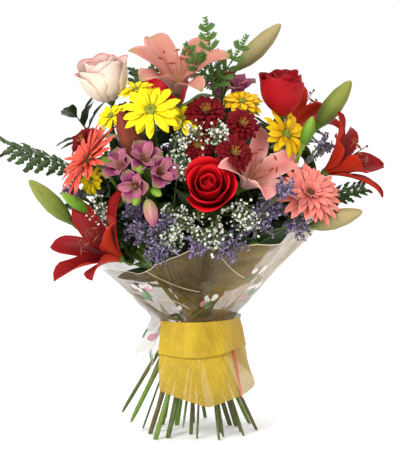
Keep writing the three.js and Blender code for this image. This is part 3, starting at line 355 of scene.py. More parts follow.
def sided(tone, grid):
    # the third channel tells the inner face, 1, from the outer one, 0
    tones = np.tile(tone, (len(grid[0]), 1)).astype(float)
    tones[:, 2] = (grid[0][:, 2] + 1) / 2
    return tones


# What stands already, so that a petal of one flower bends clear of the next
placed = []


def keep(node, points, faces):
    placed.append((node, points.min(0), points.max(0), BVHTree.FromPolygons(points.tolist(), faces)))


def meets(node, points, faces):
    low, high = points.min(0), points.max(0)
    tree = None
    for other, otherLow, otherHigh, otherTree in placed:
        if other == node or (low > otherHigh).any() or (otherLow > high).any():
            continue
        tree = tree or BVHTree.FromPolygons(points.tolist(), faces)
        if tree.overlap(otherTree):
            return True
    return False


fitting = {"bends": [0, 9, -9, 18, -18, 30, -30, 44, 60], "cuts": (1, 0.8, 0.6), "steepest": 105}


def addPetal(pile, spot, grid, tone, slot, spec):
    pile.add(put(petalOn(grid, **spec), spot), grid[1], gridUv(grid), tone, slot)


def fitPetal(pile, node, spot, grid, tone, slot, spec, must=False):
    for cut in fitting["cuts"]:
        for bend in fitting["bends"]:
            rise = min(spec["rise"] + bend, spec.get("steepest", fitting["steepest"]))
            trial = {**spec, "rise": rise, "fall": spec["fall"] + bend, "length": spec["length"] * cut}
            rough = put(petalOn(coarse, **trial), spot)
            if not meets(node, rough, coarse[1]):
                addPetal(pile, spot, grid, sided(tone, grid), slot, trial)
                keep(node, rough, coarse[1])
                return
    if must:
        addPetal(pile, spot, grid, sided(tone, grid), slot, spec)


# Petal outlines: share of the length, share of the half width
outlines = {
    "rose": [(0, 0.34), (0.2, 0.62), (0.5, 0.93), (0.7, 1), (0.88, 0.84), (0.96, 0.6), (1, 0.34)],
    "tepal": [(0, 0.2), (0.15, 0.42), (0.35, 0.8), (0.6, 1), (0.78, 0.9), (0.9, 0.62), (0.97, 0.32),
              (1, 0.1)],
    "tongue": [(0, 0.36), (0.3, 0.8), (0.6, 1), (0.8, 0.84), (0.92, 0.5), (1, 0.12)],
    "needle": [(0, 0.3), (0.35, 0.86), (0.7, 1), (0.9, 0.66), (1, 0.16)],
    "spoon": [(0, 0.3), (0.4, 0.7), (0.75, 1), (0.92, 0.76), (1, 0.3)],
    "leaf": [(0, 0.06), (0.06, 0.2), (0.25, 0.78), (0.45, 1), (0.65, 0.86), (0.85, 0.42), (1, 0.03)],
}


def petalPaint(name, stops, edge, edgeShare, veins, depth, roughness, streak=None, back=None):
    paint = Paint(name, roughness + 0.08, Subsurface_Weight=0.072, Subsurface_Scale=0.0015,
                  Specular_IOR_Level=0.14)
    across, along = paint.uv()
    shade, layer, face = paint.tone()
    lines = paint.noise(paint.vector(across * veins, along * 1.6, shade * 37.0), 1.0, 3.0, 0.6)
    blotch = paint.noise(paint.place(), 160.0, 2.0)
    colour = paint.ramp(along, stops, "B_SPLINE")
    rim = abs(across * 2.0 - 1.0)
    colour = paint.mix((rim ** 3.0) * edgeShare, colour, edge)
    if streak:
        streakColour, wide, far = streak
        line = paint.clamp(rim, wide, 0.0) * paint.clamp(along, 0.0, 0.12) * paint.clamp(along, far, 0.2)
        colour = paint.mix(line * 0.85, colour, streakColour)
    if back:
        colour = paint.mix((1 - face) * 0.8, colour, back)
    dark = paint.mix(1.0, colour, (0.45, 0.36, 0.4), "MULTIPLY")
    worn = paint.clamp(lines, 0.42, 0.78) * depth + paint.clamp(blotch, 0.5, 0.8) * 0.12
    colour = paint.mix(worn, colour, dark)
    # Petals with a low shade are darkened: a random tone in most flowers, and painted shade in the rose
    # hearts, whose inner rows get the lowest shades
    colour = paint.mix(paint.clamp(shade, 0.6, 0.0) * 0.38, colour, dark)
    return paint.set(Base_Color=colour, Normal=paint.bump(lines, 0.35, 0.0006))


# Each row: colours from root to tip, edge colour and share, veins, their depth, roughness,
# a streak down the middle with its width and reach, and the colour of the back
petals = {name: petalPaint(name, *row) for name, row in {
    "roseRed": ([(0, (110, 2, 10)), (0.5, (190, 6, 18)), (1, (206, 12, 26))], (146, 4, 16), 0.3, 14, 0.16,
                0.5, None, (168, 8, 20)),
    "roseCrimson": ([(0, (80, 2, 10)), (0.5, (160, 10, 22)), (0.9, (170, 12, 24)), (1, (92, 3, 14))],
                    (96, 3, 14), 0.5, 14, 0.2, 0.48, None, (160, 10, 20)),
    "roseCream": ([(0, (186, 186, 140)), (0.4, (226, 208, 190)), (0.93, (232, 212, 200)), (1, (176, 44, 66))],
                  (212, 140, 134), 0.3, 14, 0.1, 0.5, None, (222, 206, 188)),
    "lilySalmon": ([(0, (196, 180, 130)), (0.3, (196, 126, 112)), (0.88, (194, 124, 112)),
                    (1, (122, 140, 60))],
                   (206, 150, 138), 0.6, 20, 0.25, 0.46, ((164, 74, 72), 0.3, 0.95), (196, 138, 122)),
    "lilyPink": ([(0, (226, 206, 168)), (0.3, (218, 140, 132)), (1, (212, 132, 126))], (234, 186, 178), 0.75,
                 20, 0.2, 0.44, ((196, 66, 76), 0.36, 0.96), (228, 176, 166)),
    "lilyRed": ([(0, (34, 2, 6)), (0.25, (78, 3, 9)), (0.6, (124, 5, 11)), (1, (142, 10, 12))], (156, 20, 16),
                0.4, 20, 0.35, 0.42, ((84, 2, 8), 0.3, 0.96), (188, 46, 22)),
    "gerberaCoral": ([(0, (196, 50, 38)), (0.4, (226, 78, 62)), (1, (234, 100, 80))], (238, 124, 104), 0.35,
                     12, 0.2, 0.5, None, (222, 96, 76)),
    "gerberaPink": ([(0, (206, 84, 74)), (0.4, (222, 116, 104)), (1, (230, 138, 124))], (240, 166, 152), 0.35,
                    12, 0.18, 0.5, None, (222, 128, 112)),
    "daisyLemon": ([(0, (190, 168, 4)), (0.35, (240, 216, 10)), (1, (246, 226, 24))], (246, 230, 50), 0.3, 7,
                   0.2, 0.5, None, (226, 204, 30)),
    "daisyGold": ([(0, (190, 134, 4)), (0.35, (230, 180, 8)), (1, (236, 194, 20))], (238, 202, 44), 0.3, 7,
                  0.24, 0.5, None, (220, 176, 24)),
    "mumRed": ([(0, (46, 3, 6)), (0.5, (102, 4, 12)), (0.9, (114, 5, 15)), (1, (122, 10, 18))], (122, 8, 18),
               0.3, 10, 0.3, 0.6, None, (104, 14, 18)),
    "mumInner": ([(0, (176, 120, 36)), (0.5, (166, 84, 32)), (1, (120, 16, 20))], (196, 132, 48), 0.5, 8, 0.3,
                 0.55),
    "budOlive": ([(0, (84, 104, 36)), (0.5, (124, 136, 58)), (1, (140, 140, 66))], (92, 110, 40), 0.7, 22,
                 0.3, 0.36),
    "budBright": ([(0, (64, 104, 26)), (0.5, (98, 140, 36)), (1, (136, 166, 62))], (80, 122, 34), 0.7, 22,
                  0.25, 0.36),
    "budCream": ([(0, (104, 116, 54)), (0.4, (158, 146, 102)), (1, (166, 146, 104))], (136, 128, 70), 0.8, 22,
                 0.3, 0.38),
    "budCopper": ([(0, (110, 74, 44)), (0.5, (138, 66, 46)), (1, (118, 36, 30))], (84, 30, 22), 0.7, 30, 0.6,
                  0.4),
    "floretPink": ([(0, (150, 160, 70)), (0.25, (156, 66, 118)), (0.8, (150, 46, 102)), (1, (120, 140, 50))],
                   (196, 118, 164), 0.6, 10, 0.45, 0.42, None, (168, 84, 134)),
    "floretInner": ([(0, (150, 164, 70)), (0.35, (196, 150, 130)), (1, (160, 54, 110))], (190, 116, 158), 0.5,
                    5, 0.9, 0.42),
}.items()}


def leafPaint(name, deep, pale, roughness=0.42, veins=9.0):
    paint = Paint(name, roughness, Subsurface_Weight=0.04, Subsurface_Scale=0.001, Specular_IOR_Level=0.28)
    across, along = paint.uv()
    rim = abs(across * 2.0 - 1.0)
    side = paint.node("Math", {"operation": "SINE"}, {0: (along * veins - rim * 2.4) * roughTurn})
    veinLine = paint.clamp(side, 0.8, 1.0)
    rib = paint.clamp(rim, 0.14, 0.02)
    patch = paint.noise(paint.place(), 90.0, 3.0)
    colour = paint.mix(paint.clamp(patch, 0.3, 0.75) * 0.6 + paint.tone()[0] * 0.35, deep, pale)
    ribColour = tuple(min(1, part * 1.9 + 0.02) for part in linear(pale))
    colour = paint.mix(rib * 0.65 + veinLine * 0.22, colour, ribColour)
    return paint.set(Base_Color=colour, Normal=paint.bump(veinLine * -1.0 + rib * -1.5, 0.4, 0.0004))


def stemPaint(name, deep, pale, brown=(96, 72, 36), cutColour=(176, 178, 120)):
    paint = Paint(name, 0.42, Specular_IOR_Level=0.45, Subsurface_Weight=0.04, Subsurface_Scale=0.001)
    x, y, z = paint.split(paint.place())
    fibre = paint.noise(paint.vector(x * 900.0, y * 900.0, z * 28.0), 1.0, 3.0)
    patch = paint.noise(paint.place(), 45.0, 2.0)
    colour = paint.mix(paint.clamp(fibre, 0.3, 0.7), deep, pale)
    colour = paint.mix(paint.clamp(patch, 0.52, 0.72) * paint.clamp(z, 0.12, 0.0) * 0.75, colour, brown)
    colour = paint.mix(paint.clamp(z, 0.0007, 0.0003), colour, cutColour)
    speck = paint.noise(paint.place(), 700.0, 1.0)
    colour = paint.mix(paint.clamp(speck, 0.68, 0.76) * 0.5, colour, brown)
    return paint.set(Base_Color=colour, Normal=paint.bump(fibre, 0.3, 0.0005))


def grainPaint(name, roughness, dark, pale, scale, **fixed):
    # two colours mixed by a fine noise
    paint = Paint(name, roughness, **fixed)
    return paint.set(Base_Color=paint.mix(paint.noise(paint.place(), scale), dark, pale))


def lengthPaint(name, roughness, root, tip, **fixed):
    # one colour at the root and another at the tip
    paint = Paint(name, roughness, **fixed)
    return paint.set(Base_Color=paint.mix(paint.uv()[1], root, tip))


def tonePaint(name, roughness, channel, low, high, **fixed):
    # two colours mixed by one channel of the tone
    paint = Paint(name, roughness, **fixed)
    return paint.set(Base_Color=paint.mix(paint.tone()[channel], low, high))


leafDark = leafPaint("leafDark", (22, 40, 18), (48, 72, 30))
leafFresh = leafPaint("leafFresh", (50, 76, 26), (96, 122, 48))
fernGreen = leafPaint("fernGreen", (26, 46, 18), (58, 84, 34), 0.5, 3.0)
sprigGreen = leafPaint("sprigGreen", (34, 66, 22), (92, 128, 48), 0.5, 3.0)
twigGreen = leafPaint("twigGreen", (60, 78, 40), (106, 120, 70))
stemGreen = stemPaint("stemGreen", (54, 72, 22), (92, 110, 40))
stemBright = stemPaint("stemBright", (76, 108, 22), (118, 144, 40))
stemBrown = stemPaint("stemBrown", (72, 62, 28), (112, 98, 46))
anther = grainPaint("antherBrown", 0.8, (84, 26, 12), (164, 72, 30), 1800.0)
discDark = grainPaint("discDark", 0.75, (52, 22, 16), (150, 84, 52), 900.0)
filamentRed = lengthPaint("filamentRed", 0.5, (70, 20, 12), (140, 44, 30))
filament = lengthPaint("filamentPale", 0.45, (190, 168, 110), (206, 120, 104), Subsurface_Weight=0.1,
                       Subsurface_Scale=0.001)
discGreen = tonePaint("discGreen", 0.65, 1, (112, 138, 30), (196, 190, 36))
mumHeart = tonePaint("mumHeart", 0.7, 1, (176, 126, 36), (130, 50, 24))
mistWhite = tonePaint("mistWhite", 0.6, 0, (150, 160, 130), (226, 226, 218), Subsurface_Weight=0.15,
                      Subsurface_Scale=0.001)
bracts = Paint("mistPurple", 0.65, Subsurface_Weight=0.08, Subsurface_Scale=0.001)
bractStops = [(0, (62, 48, 78)), (0.5, (98, 80, 118)), (1, (160, 144, 174))]
mistPurple = bracts.set(Base_Color=bracts.ramp(bracts.tone()[0], bractStops))
print("paints made")


def bloomSpot(spec, depth):
    aim = aimVector(spec["aim"])
    return headFrame(np.array(spec["at"]) - aim * (depth - 0.4), aim)


def addCup(pile, spot, size, lift, shade, slot=1):
    # the green or hollow base under a bloom
    pile.add(put(dome[0] * size + (0, 0, lift), spot), dome[1], None, (shade, shade, shade), slot)


def alongTube(pile, line, radii, shade=0.5, slot=0, shape=twig):
    line = np.array(line, float)
    count = len(line)
    reach = np.concatenate([[0], np.cumsum(np.linalg.norm(np.diff(line, axis=0), axis=1))])
    share = shape[0][:, 2] * reach[-1]
    centre = np.column_stack([np.interp(share, reach, line[:, k]) for k in range(3)])
    radius = np.interp(share, reach,
                       np.interp(np.linspace(0, 1, count), np.linspace(0, 1, len(radii)), radii))
    tangents = np.gradient(line, axis=0) if count > 2 else np.array([line[1] - line[0]] * 2)
    along = np.column_stack([np.interp(share, reach, tangents[:, k]) for k in range(3)])
    along /= np.linalg.norm(along, axis=1)[:, None]
    side = np.cross(along, (0.31, 0.17, 0.93))
    side /= np.linalg.norm(side, axis=1)[:, None]
    third = np.cross(along, side)
    turn = np.arctan2(shape[0][:, 1], shape[0][:, 0])
    away = np.hypot(shape[0][:, 0], shape[0][:, 1]) * radius
    points = centre + side * (np.cos(turn) * away)[:, None] + third * (np.sin(turn) * away)[:, None]
    pile.add(points, shape[1], np.column_stack([turn / roughTurn + 0.5, shape[0][:, 2]]), shade, slot)


def seedHead(pile, spot, radius, height, count, size, slot=2):
    # small florets in a spiral over a dome
    for i in range(count):
        share = math.sqrt((i + 0.5) / count)
        place = around(i * 2.39996, radius * share, height * math.sqrt(max(0, 1 - share * share * 0.85)))
        scale = size * (0.75 + 0.5 * share)
        points = ball[0] * (scale, scale, scale * 1.5) + place
        pile.add(put(points, spot), ball[1], ball[0][:, :2] * 0.5 + 0.5, (0.5, share, 0.5), slot)


# Places and aims of the blooms, in millimetres from the tie, as the solids have them
roses = table("at aim radius seed shut paint", {
    "rose_front": ((17, -116, 148), (0, 28), 28, 11, 0, "roseRed"),
    "rose_right": ((92, -58, 238), (-8, 76), 26, 12, 1, "roseCrimson"),
    "rose_white": ((-89, -52, 251), (-50, 68), 26, 13, 1, "roseCream"),
    "rose_back": ((-28, 74, 232), (195, 52), 26, 14, 0, "roseRed"),
})
# Rows of petals from the heart to the guard petals, of an open rose, 0, and a shut one, 1
roseKeys = "count root height length width rise fall hug lip".split()
roseRows = {
    0: [(3, 0.6, 6, 33, 18, 86, 97, 1.35, 4), (3, 1.4, 5, 37, 27, 78, 101, 1.25, 9),
        (3, 2.2, 4, 40, 36, 67, 105, 1.15, 16),
        (3, 3, 3.4, 44, 44, 52, 107, 1.05, 28), (4, 3.2, 2.8, 46, 46, 38, 106, 0.95, 46),
        (3, 3.2, 2.2, 46, 46, 25, 102, 0.85, 70)],
    1: [(3, 0.6, 8, 38, 18, 88, 95, 1.35, 3), (3, 1.6, 6, 43, 28, 80, 99, 1.3, 8),
        (3, 2.4, 5, 48, 38, 64, 105, 1.2, 12),
        (4, 3, 4, 54, 45, 44, 111, 1.15, 18), (4, 3.2, 3, 57, 52, 28, 113, 1.1, 26),
        (2, 3.2, 2.4, 55, 48, 22, 109, 1.0, 44)],
}
roseSize = 28


def roseLayers(spec, draw, size):
    start = draw.random() * 6
    for k, numbers in enumerate(roseRows[spec["shut"]]):
        row = dict(zip(roseKeys, numbers))
        for i in range(row["count"]):
            sway = swing(draw, 3)
            yield k, {
                **row,
                "turn": start + 2.4 * k + (i + 0.3 * (draw.random() - 0.5)) * fullTurn / row["count"],
                "root": row["root"] * size, "height": row["height"] * size,
                "length": row["length"] * size * draw.uniform(0.93, 1.03), "width": row["width"] * size,
                "rise": row["rise"] + sway, "fall": row["fall"] + sway,
                "lip": row["lip"] * draw.uniform(0.7, 1.25),
                "notch": 0.7, "wave": ((0.7 + 0.7 * spec["shut"]) * size, draw.uniform(1.2, 2.6),
                                       draw.random() * 6),
                "thick": 0.55, "profile": outlines["rose"],
            }


for name, spec in roses.items():
    draw = random.Random(spec["seed"])
    size = spec["radius"] / roseSize
    spot = bloomSpot(spec, spec["radius"] * 1.85 * 0.55)
    pile = Pile()
    addCup(pile, spot, (5.2 * size, 5.2 * size, 7 * size), 5.2 * size, 0.2)
    for layer, petal in roseLayers(spec, draw, size):
        # Inner rows get lower shades, which petalPaint darkens: painted shade in the heart of the rose, with
        # a little random spread
        shade = (0.3 + 0.13 * layer + swing(draw, 0.1), layer / 5, 0.5)
        fitPetal(pile, name, spot, rosePetal, shade, 0, petal, layer < 5)
    pile.build(name, [petals[spec["paint"]], leafFresh], name)
print("roses made")

lilies = table("at aim roll reach width seed paint shut", {
    "lily_pink_top": ((-16, -46, 250), (-4, 60), 0, 74, 33, 21, "lilySalmon", 2),
    "lily_pink_right": ((59, -86, 153), (42, 42), 0, 68, 29, 22, "lilyPink", 2),
    "lily_red_left": ((-82, -88, 79), (-58, 32), 18, 76, 31, 23, "lilyRed", 20),
    "lily_red_right": ((148, -40, 163), (72, 32), -30, 68, 27, 24, "lilyRed", 14),
    "lily_red_back": ((110, 40, 206), (118, 52), 0, 60, 26, 25, "lilyRed", 2),
})


def stamens(pile, spot, draw, count, reach, lean, slots, size=1.0):
    for i in range(count + 1):
        pistil = i == count
        turn = fullTurn * (i + swing(draw, 0.15)) / count + 0.3
        out = 1.5 if pistil else lean * draw.uniform(0.8, 1.15)
        tall = reach * (1.12 if pistil else draw.uniform(0.9, 1.02))
        line = [around(turn, 0.8, 3), around(turn, out * 0.35, tall * 0.55), around(turn, out, tall)]
        line = put(np.array(line), spot)
        alongTube(pile, line, [0.85 * size, 0.6 * size, 0.5 * size], 0.5, slots[0])
        if pistil:
            pile.add(ball[0] * (1.5 * size) + line[-1], ball[1], ball[0][:, :2] * 0.5 + 0.5, 0.3, slots[0])
            continue
        across = unit(np.cross(line[2] - line[1], (swing(draw, 1), swing(draw, 1), 0.3)))
        ends = [line[2] - across * 4.4 * size, line[2], line[2] + across * 4.4 * size]
        alongTube(pile, ends, [0.5 * size, 1.3 * size, 0.5 * size], 0.5, slots[1], finger)


for name, spec in lilies.items():
    draw = random.Random(spec["seed"])
    spot = bloomSpot(spec, 18)
    pile = Pile()
    addCup(pile, spot, (4.6, 4.6, 7), 6, 0.5, 2)
    for i in range(6):
        inner = i % 2 == 0
        petal = {
            "turn": math.radians(spec["roll"]) + math.pi / 3 * (i + swing(draw, 0.06)),
            "root": 2.2 if inner else 3.0, "height": 3.5,
            "length": spec["reach"] * draw.uniform(0.95, 1.0),
            "width": spec["width"] * (1.02 if inner else 0.82),
            "rise": (64 if inner else 59) + swing(draw, 4),
            "fall": (10 if inner else 0) + spec["shut"] + swing(draw, 6),
            "lip": draw.uniform(8, 24), "lipFrom": 0.76, "curl": 0.7, "fold": 0.08,
            "wave": (1.5 if inner else 0.6, 2.2, draw.random() * 6), "thick": 0.75,
            "bend": 1.15, "profile": outlines["tepal"], "steepest": 80,
        }
        fitPetal(pile, name, spot, lilyPetal, (draw.uniform(0.4, 0.8), 0.5, 0.5), 0, petal, True)
    stamens(pile, spot, draw, 6, 50, 13, (1, 3))
    thread = filamentRed if spec["paint"] == "lilyRed" else filament
    pile.build(name, [petals[spec["paint"]], thread, leafFresh, anther], name)
print("lilies made")


def addHead(name, spec, rows, kind, depth, cup, heart, paints):
    # a flat head of many narrow petals: each row has count, length, rise, fall, height and width
    draw = random.Random(spec["seed"])
    spot = bloomSpot(spec, depth)
    pile = Pile()
    addCup(pile, spot, *cup, 0.4)
    for layer, (count, length, rise, fall, high, wide) in enumerate(rows):
        for i in range(count):
            petal = {
                "turn": fullTurn * (i + 0.5 * layer + swing(draw, kind["stray"])) / count,
                "root": spec["radius"] * (kind["root"] - kind["drop"] * layer), "height": high,
                "length": length * draw.uniform(0.86, kind["longest"]),
                "width": wide * (draw.uniform(*kind["widths"]) if kind["widths"] else 1),
                "rise": rise + swing(draw, kind["sway"]), "fall": fall + draw.uniform(*kind["falls"]),
                "curl": kind["curl"], "thick": 0.5, "profile": outlines[kind["outline"]],
            }
            if kind["wave"]:
                petal["wave"] = (0.4, kind["wave"], draw.random() * 6)
            tone = (draw.uniform(*kind["shades"]), layer / (len(rows) - 1), 0.5)
            grid, slot = (smallPetal, kind["heartSlot"]) if layer == kind["heartRow"] else (rayPetal, 0)
            fitPetal(pile, name, spot, grid, tone, slot, petal)
    seedHead(pile, spot, *heart)
    pile.build(name, paints, name)


headKinds = table("stray root drop longest widths sway falls curl outline wave shades heartRow heartSlot", {
    "gerbera": (0.25, 0.2, 0.03, 1.03, (0.85, 1.1), 6, (-12, 10), 0.7, "needle", 0, (0.3, 0.8), 3, 0),
    "daisy": (0.2, 0.17, 0, 1.05, None, 6, (-14, 12), 0.55, "tongue", 1.2, (0.4, 0.85), None, 0),
    "mum": (0.22, 0.13, 0, 1.05, None, 8, (-14, 12), 0.6, "spoon", 1.4, (0.25, 0.8), 4, 3),
})

gerberas = table("at aim radius seed paint wide", {
    "gerbera_coral": ((-108, -86, 176), (-66, 34), 42, 51, "gerberaCoral", 0.95),
    "gerbera_pink": ((120, -92, 142), (24, 42), 37, 52, "gerberaPink", 1.35),
})
gerberaRows = [(19, 0.84, 3, -8, 4.2, 6.6), (18, 0.78, 11, -1, 5.4, 6.2), (16, 0.6, 22, 10, 6.4, 5.2),
               (26, 0.26, 46, 34, 7.2, 2.4)]
for name, spec in gerberas.items():
    radius = spec["radius"]
    rows = [(count, radius * reach, rise, fall, high, wide * spec["wide"])
            for count, reach, rise, fall, high, wide in gerberaRows]
    addHead(name, spec, rows, headKinds["gerbera"], 10, ((radius * 0.24, radius * 0.24, 4.4), 4),
            (radius * 0.17, 9.4, 70, 0.8), [petals[spec["paint"]], leafFresh, discDark])
print("gerberas made")

daisies = table("at aim radius seed paint", {
    "daisy_one": ((-41, -106, 225), (-8, 34), 29, 31, "daisyLemon"),
    "daisy_two": ((-8, -92, 216), (24, 50), 21, 32, "daisyLemon"),
    "daisy_three": ((-82, -84, 218), (-38, 44), 17, 33, "daisyLemon"),
    "daisy_four": ((-56, -64, 244), (-15, 66), 18, 34, "daisyLemon"),
    "daisy_five": ((52, -58, 232), (12, 58), 20, 35, "daisyGold"),
    "daisy_six": ((98, -62, 198), (42, 26), 26, 36, "daisyGold"),
    "daisy_seven": ((-104, -66, 150), (-42, 6), 15, 37, "daisyLemon"),
    "daisy_back": ((52, 62, 222), (158, 52), 24, 38, "daisyLemon"),
})
daisyRows = [(0.92, 0, -10, 4.2, 0.98), (0.82, 12, -4, 5.2, 0.9), (0.5, 28, 14, 6.0, 0.62)]
for name, spec in daisies.items():
    radius = spec["radius"]
    most = 13 if radius > 22 else 11
    rows = [(count, radius * reach, rise, fall, high, wide * radius * 4.4 / most)
            for count, (reach, rise, fall, high, wide) in zip((most, most - 2, 5), daisyRows)]
    addHead(name, spec, rows, headKinds["daisy"], 8, ((radius * 0.25, radius * 0.25, 4.2), 3.8),
            (radius * 0.21, 8.6, 60, radius * 0.027), [petals[spec["paint"]], leafFresh, discGreen])
print("daisies made")

mums = table("at aim radius seed", {
    "mum_one": ((14, -92, 226), (0, 45), 22, 41), "mum_two": ((52, -94, 212), (18, 38), 20, 42),
    "mum_three": ((44, -116, 184), (14, 26), 21, 43), "mum_four": ((6, -104, 190), (-6, 22), 18, 44),
    "mum_five": ((-116, -20, 190), (-55, 34), 20, 45), "mum_six": ((32, -12, 258), (10, 78), 20, 46),
    "mum_back": ((-74, 34, 218), (215, 55), 21, 47),
})
mumRows = [(17, 0.86, -2, -26, 0.22, 0.31), (16, 0.8, 11, -12, 0.28, 0.3), (14, 0.64, 26, 6, 0.33, 0.27),
           (10, 0.46, 42, 26, 0.37, 0.22), (9, 0.26, 60, 54, 0.4, 0.13)]
for name, spec in mums.items():
    radius = spec["radius"]
    rows = [(count, radius * reach, rise, fall, radius * high, radius * wide)
            for count, reach, rise, fall, high, wide in mumRows]
    addHead(name, spec, rows, headKinds["mum"], radius * 0.6,
            ((radius * 0.3, radius * 0.3, radius * 0.22), radius * 0.24),
            (radius * 0.15, radius * 0.5, 30, radius * 0.034),
            [petals["mumRed"], leafFresh, mumHeart, petals["mumInner"]])
print("mums made")

# Film outline, which the leaves inside it keep clear of: at each turn, the slope and the height of the rim
filmSizes = {"neck": 46, "pleat": 19.7, "rimPleat": 3.5, "pleats": 8, "fade": 38, "skirt": 62,
             "skirtRise": 26, "columns": 288, "rows": 64}
filmOutline = [(0, 0.93, 128), (45, 0.82, 150), (90, 0.66, 160), (135, 0.62, 132), (180, 0.92, 82),
               (210, 1.22, 56), (235, 1.02, 62), (270, 0.74, 80), (320, 0.88, 92), (360, 0.93, 128)]


def filmAt(turn):
    degrees = np.degrees(turn) % 360
    starts, *measures = (np.array(part, float) for part in zip(*filmOutline))
    index = np.clip(np.searchsorted(starts, degrees, side="right") - 1, 0, len(starts) - 2)
    share = (degrees - starts[index]) / (starts[index + 1] - starts[index])
    smooth = share * share * (3 - 2 * share)
    return [part[index] + (part[index + 1] - part[index]) * smooth for part in measures]


def filmOuter(turn, z):
    skirt = 0.36 - 0.12 * np.cos(turn - math.radians(20))
    return filmSizes["neck"] + np.where(z >= 0, filmAt(turn)[0] * z, -skirt * z)


def filmRadius(turn, z):
    gathered = (filmSizes["pleat"] - filmSizes["rimPleat"]) * np.exp(-np.abs(z) / filmSizes["fade"])
    pleat = (1 - np.cos(filmSizes["pleats"] * turn)) / 2
    return filmOuter(turn, z) - (filmSizes["rimPleat"] + gathered) * pleat


# Filling leaves stay inside the film and in an oval, so that they lie behind the faces of the blooms
filling = {"centre": np.array([0, 0, 112]), "radii": np.array([152, 104, 132]), "filmGap": 4, "rimGap": 6,
           "perStem": 34}


def insideHead(points):
    turn = np.arctan2(points[:, 1], points[:, 0])
    low = points[:, 2] < filmAt(turn)[1] + filling["rimGap"]
    clear = np.hypot(points[:, 0], points[:, 1]) < filmRadius(turn, points[:, 2]) - filling["filmGap"]
    oval = np.linalg.norm((points - filling["centre"]) / filling["radii"], axis=1) < 1
    return bool(clear[low].all() and oval.all())


# Stems, leaves and buds keep the solids' form: a merged, rounded copy of each node
def largestPart(work):
    loose = set(work.verts)
    parts = []
    while loose:
        stack, part = [loose.pop()], []
        while stack:
            vertex = stack.pop()
            part.append(vertex)
            near = {edge.other_vert(vertex) for edge in vertex.link_edges} & loose
            loose -= near
            stack.extend(near)
        parts.append(part)
    parts.sort(key=len)
    bmesh.ops.delete(work, geom=[vertex for part in parts[:-1] for vertex in part], context="VERTS")


def roundedCopy(node, cuts=(), levels=2):
    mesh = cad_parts[node].data.copy()
    mesh.materials.clear()
    work = bmesh.new()
    work.from_mesh(mesh)
    bmesh.ops.remove_doubles(work, verts=work.verts, dist=0.00002)
    for place, aim in cuts:
        place, aim = Vector((np.array(place) + tie) / 1000), Vector(aim)
        gone = [vertex for vertex in work.verts
                if (vertex.co - place).dot(aim) > 0 and (vertex.co - place).length < 0.1]
        bmesh.ops.delete(work, geom=gone, context="VERTS")
    if cuts:
        largestPart(work)
        bmesh.ops.holes_fill(work, edges=[edge for edge in work.edges if edge.is_boundary], sides=0)
        bmesh.ops.triangulate(work, faces=work.faces)
    crease = work.edges.layers.float.new("crease_edge")
    for edge in work.edges:
        standing = len(edge.link_faces) == 2 and all(vertex.co.z < 0.0008 for vertex in edge.verts)
        if standing and any(face.normal.z > -0.7 for face in edge.link_faces):
            edge[crease] = 0.9
    work.to_mesh(mesh)
    work.free()
    piece = bpy.data.objects.new(node, mesh)
    bpy.context.collection.objects.link(piece)
    bpy.ops.object.select_all(action="DESELECT")
    piece.select_set(True)
    bpy.context.view_layer.objects.active = piece
    rounder = piece.modifiers.new("round", "SUBSURF")
    rounder.levels = rounder.render_levels = levels
    bpy.ops.object.modifier_apply(modifier="round")
    points, faces = takeMesh()
    return points * 1000 - tie, faces


def greenCopy(pile, node, slot, cuts=()):
    points, faces = roundedCopy(node, cuts)
    uv = np.column_stack([np.full(len(points), 0.4), np.clip(points[:, 2] / 300, 0, 1)])
    pile.add(points, faces, uv, 0.5, slot)
    return points


def addGreenery(pile, node, points, draw, count, slots, length=(34, 60), width=(12, 22), heights=(24, 236)):
    # leaves along a stem, up and outwards, behind the blooms and inside the film
    roots = points[(points[:, 2] > heights[0]) & (points[:, 2] < heights[1])]
    made = 0
    for attempt in range(count * 7 if len(roots) else 0):
        if made == count:
            break
        root = roots[draw.randrange(len(roots))]
        outward = np.array([root[0], root[1], 0]) / (np.hypot(root[0], root[1]) + 1e-6)
        spread = np.array([draw.gauss(0, 1), draw.gauss(0, 1), draw.gauss(0, 0.5)])
        aim = unit(outward * draw.uniform(0, 0.9) + spread * 0.7 + (0, 0, 0.7))
        long = draw.uniform(*length)
        leaf = {
            "turn": draw.random() * roughTurn, "length": long, "width": draw.uniform(*width), "rise": 70,
            "fall": draw.uniform(0, 50), "curl": 0.3, "fold": 0.15, "wave": (0.9, 2, draw.random() * 6),
            "thick": 0.4, "profile": outlines["leaf"],
        }
        spot = headFrame(root, aim)
        rough = put(petalOn(coarse, **leaf), spot)
        if insideHead(rough) and not meets(node, rough, coarse[1]):
            made += 1
            shade = draw.random()
            addPetal(pile, spot, leafGrid, shade, slots[draw.randrange(len(slots))], leaf)


buds = table("start end radius stem paint", {
    "left_low": ((-124, -52, 106), (-166, -60, 150), 9.5, "stem_lily_red_left", "budOlive"),
    "left_small": ((-103, -72, 118), (-132, -78, 138), 6, "stem_lily_red_left", "budBright"),
    "top_cream": ((48, -6, 262), (92, -12, 308), 10, "stem_lily_pink_top", "budCream"),
    "right_tall": ((130, -22, 202), (164, -28, 250), 10.5, "stem_lily_red_right", "budOlive"),
    "right_small": ((112, -78, 186), (122, -80, 216), 6.5, "stem_lily_red_right", "budBright"),
    "right_low": ((120, -76, 104), (172, -92, 121), 10, "stem_lily_pink_right", "budCream"),
    "left_copper": ((-54, -86, 174), (-72, -92, 222), 12, "stem_lily_red_left", "budCopper"),
})
budSwell = ([0, 0.05, 0.2, 0.42, 0.7, 0.9, 0.98, 1], [0.0, 0.45, 0.8, 1.0, 0.84, 0.46, 0.2, 0])


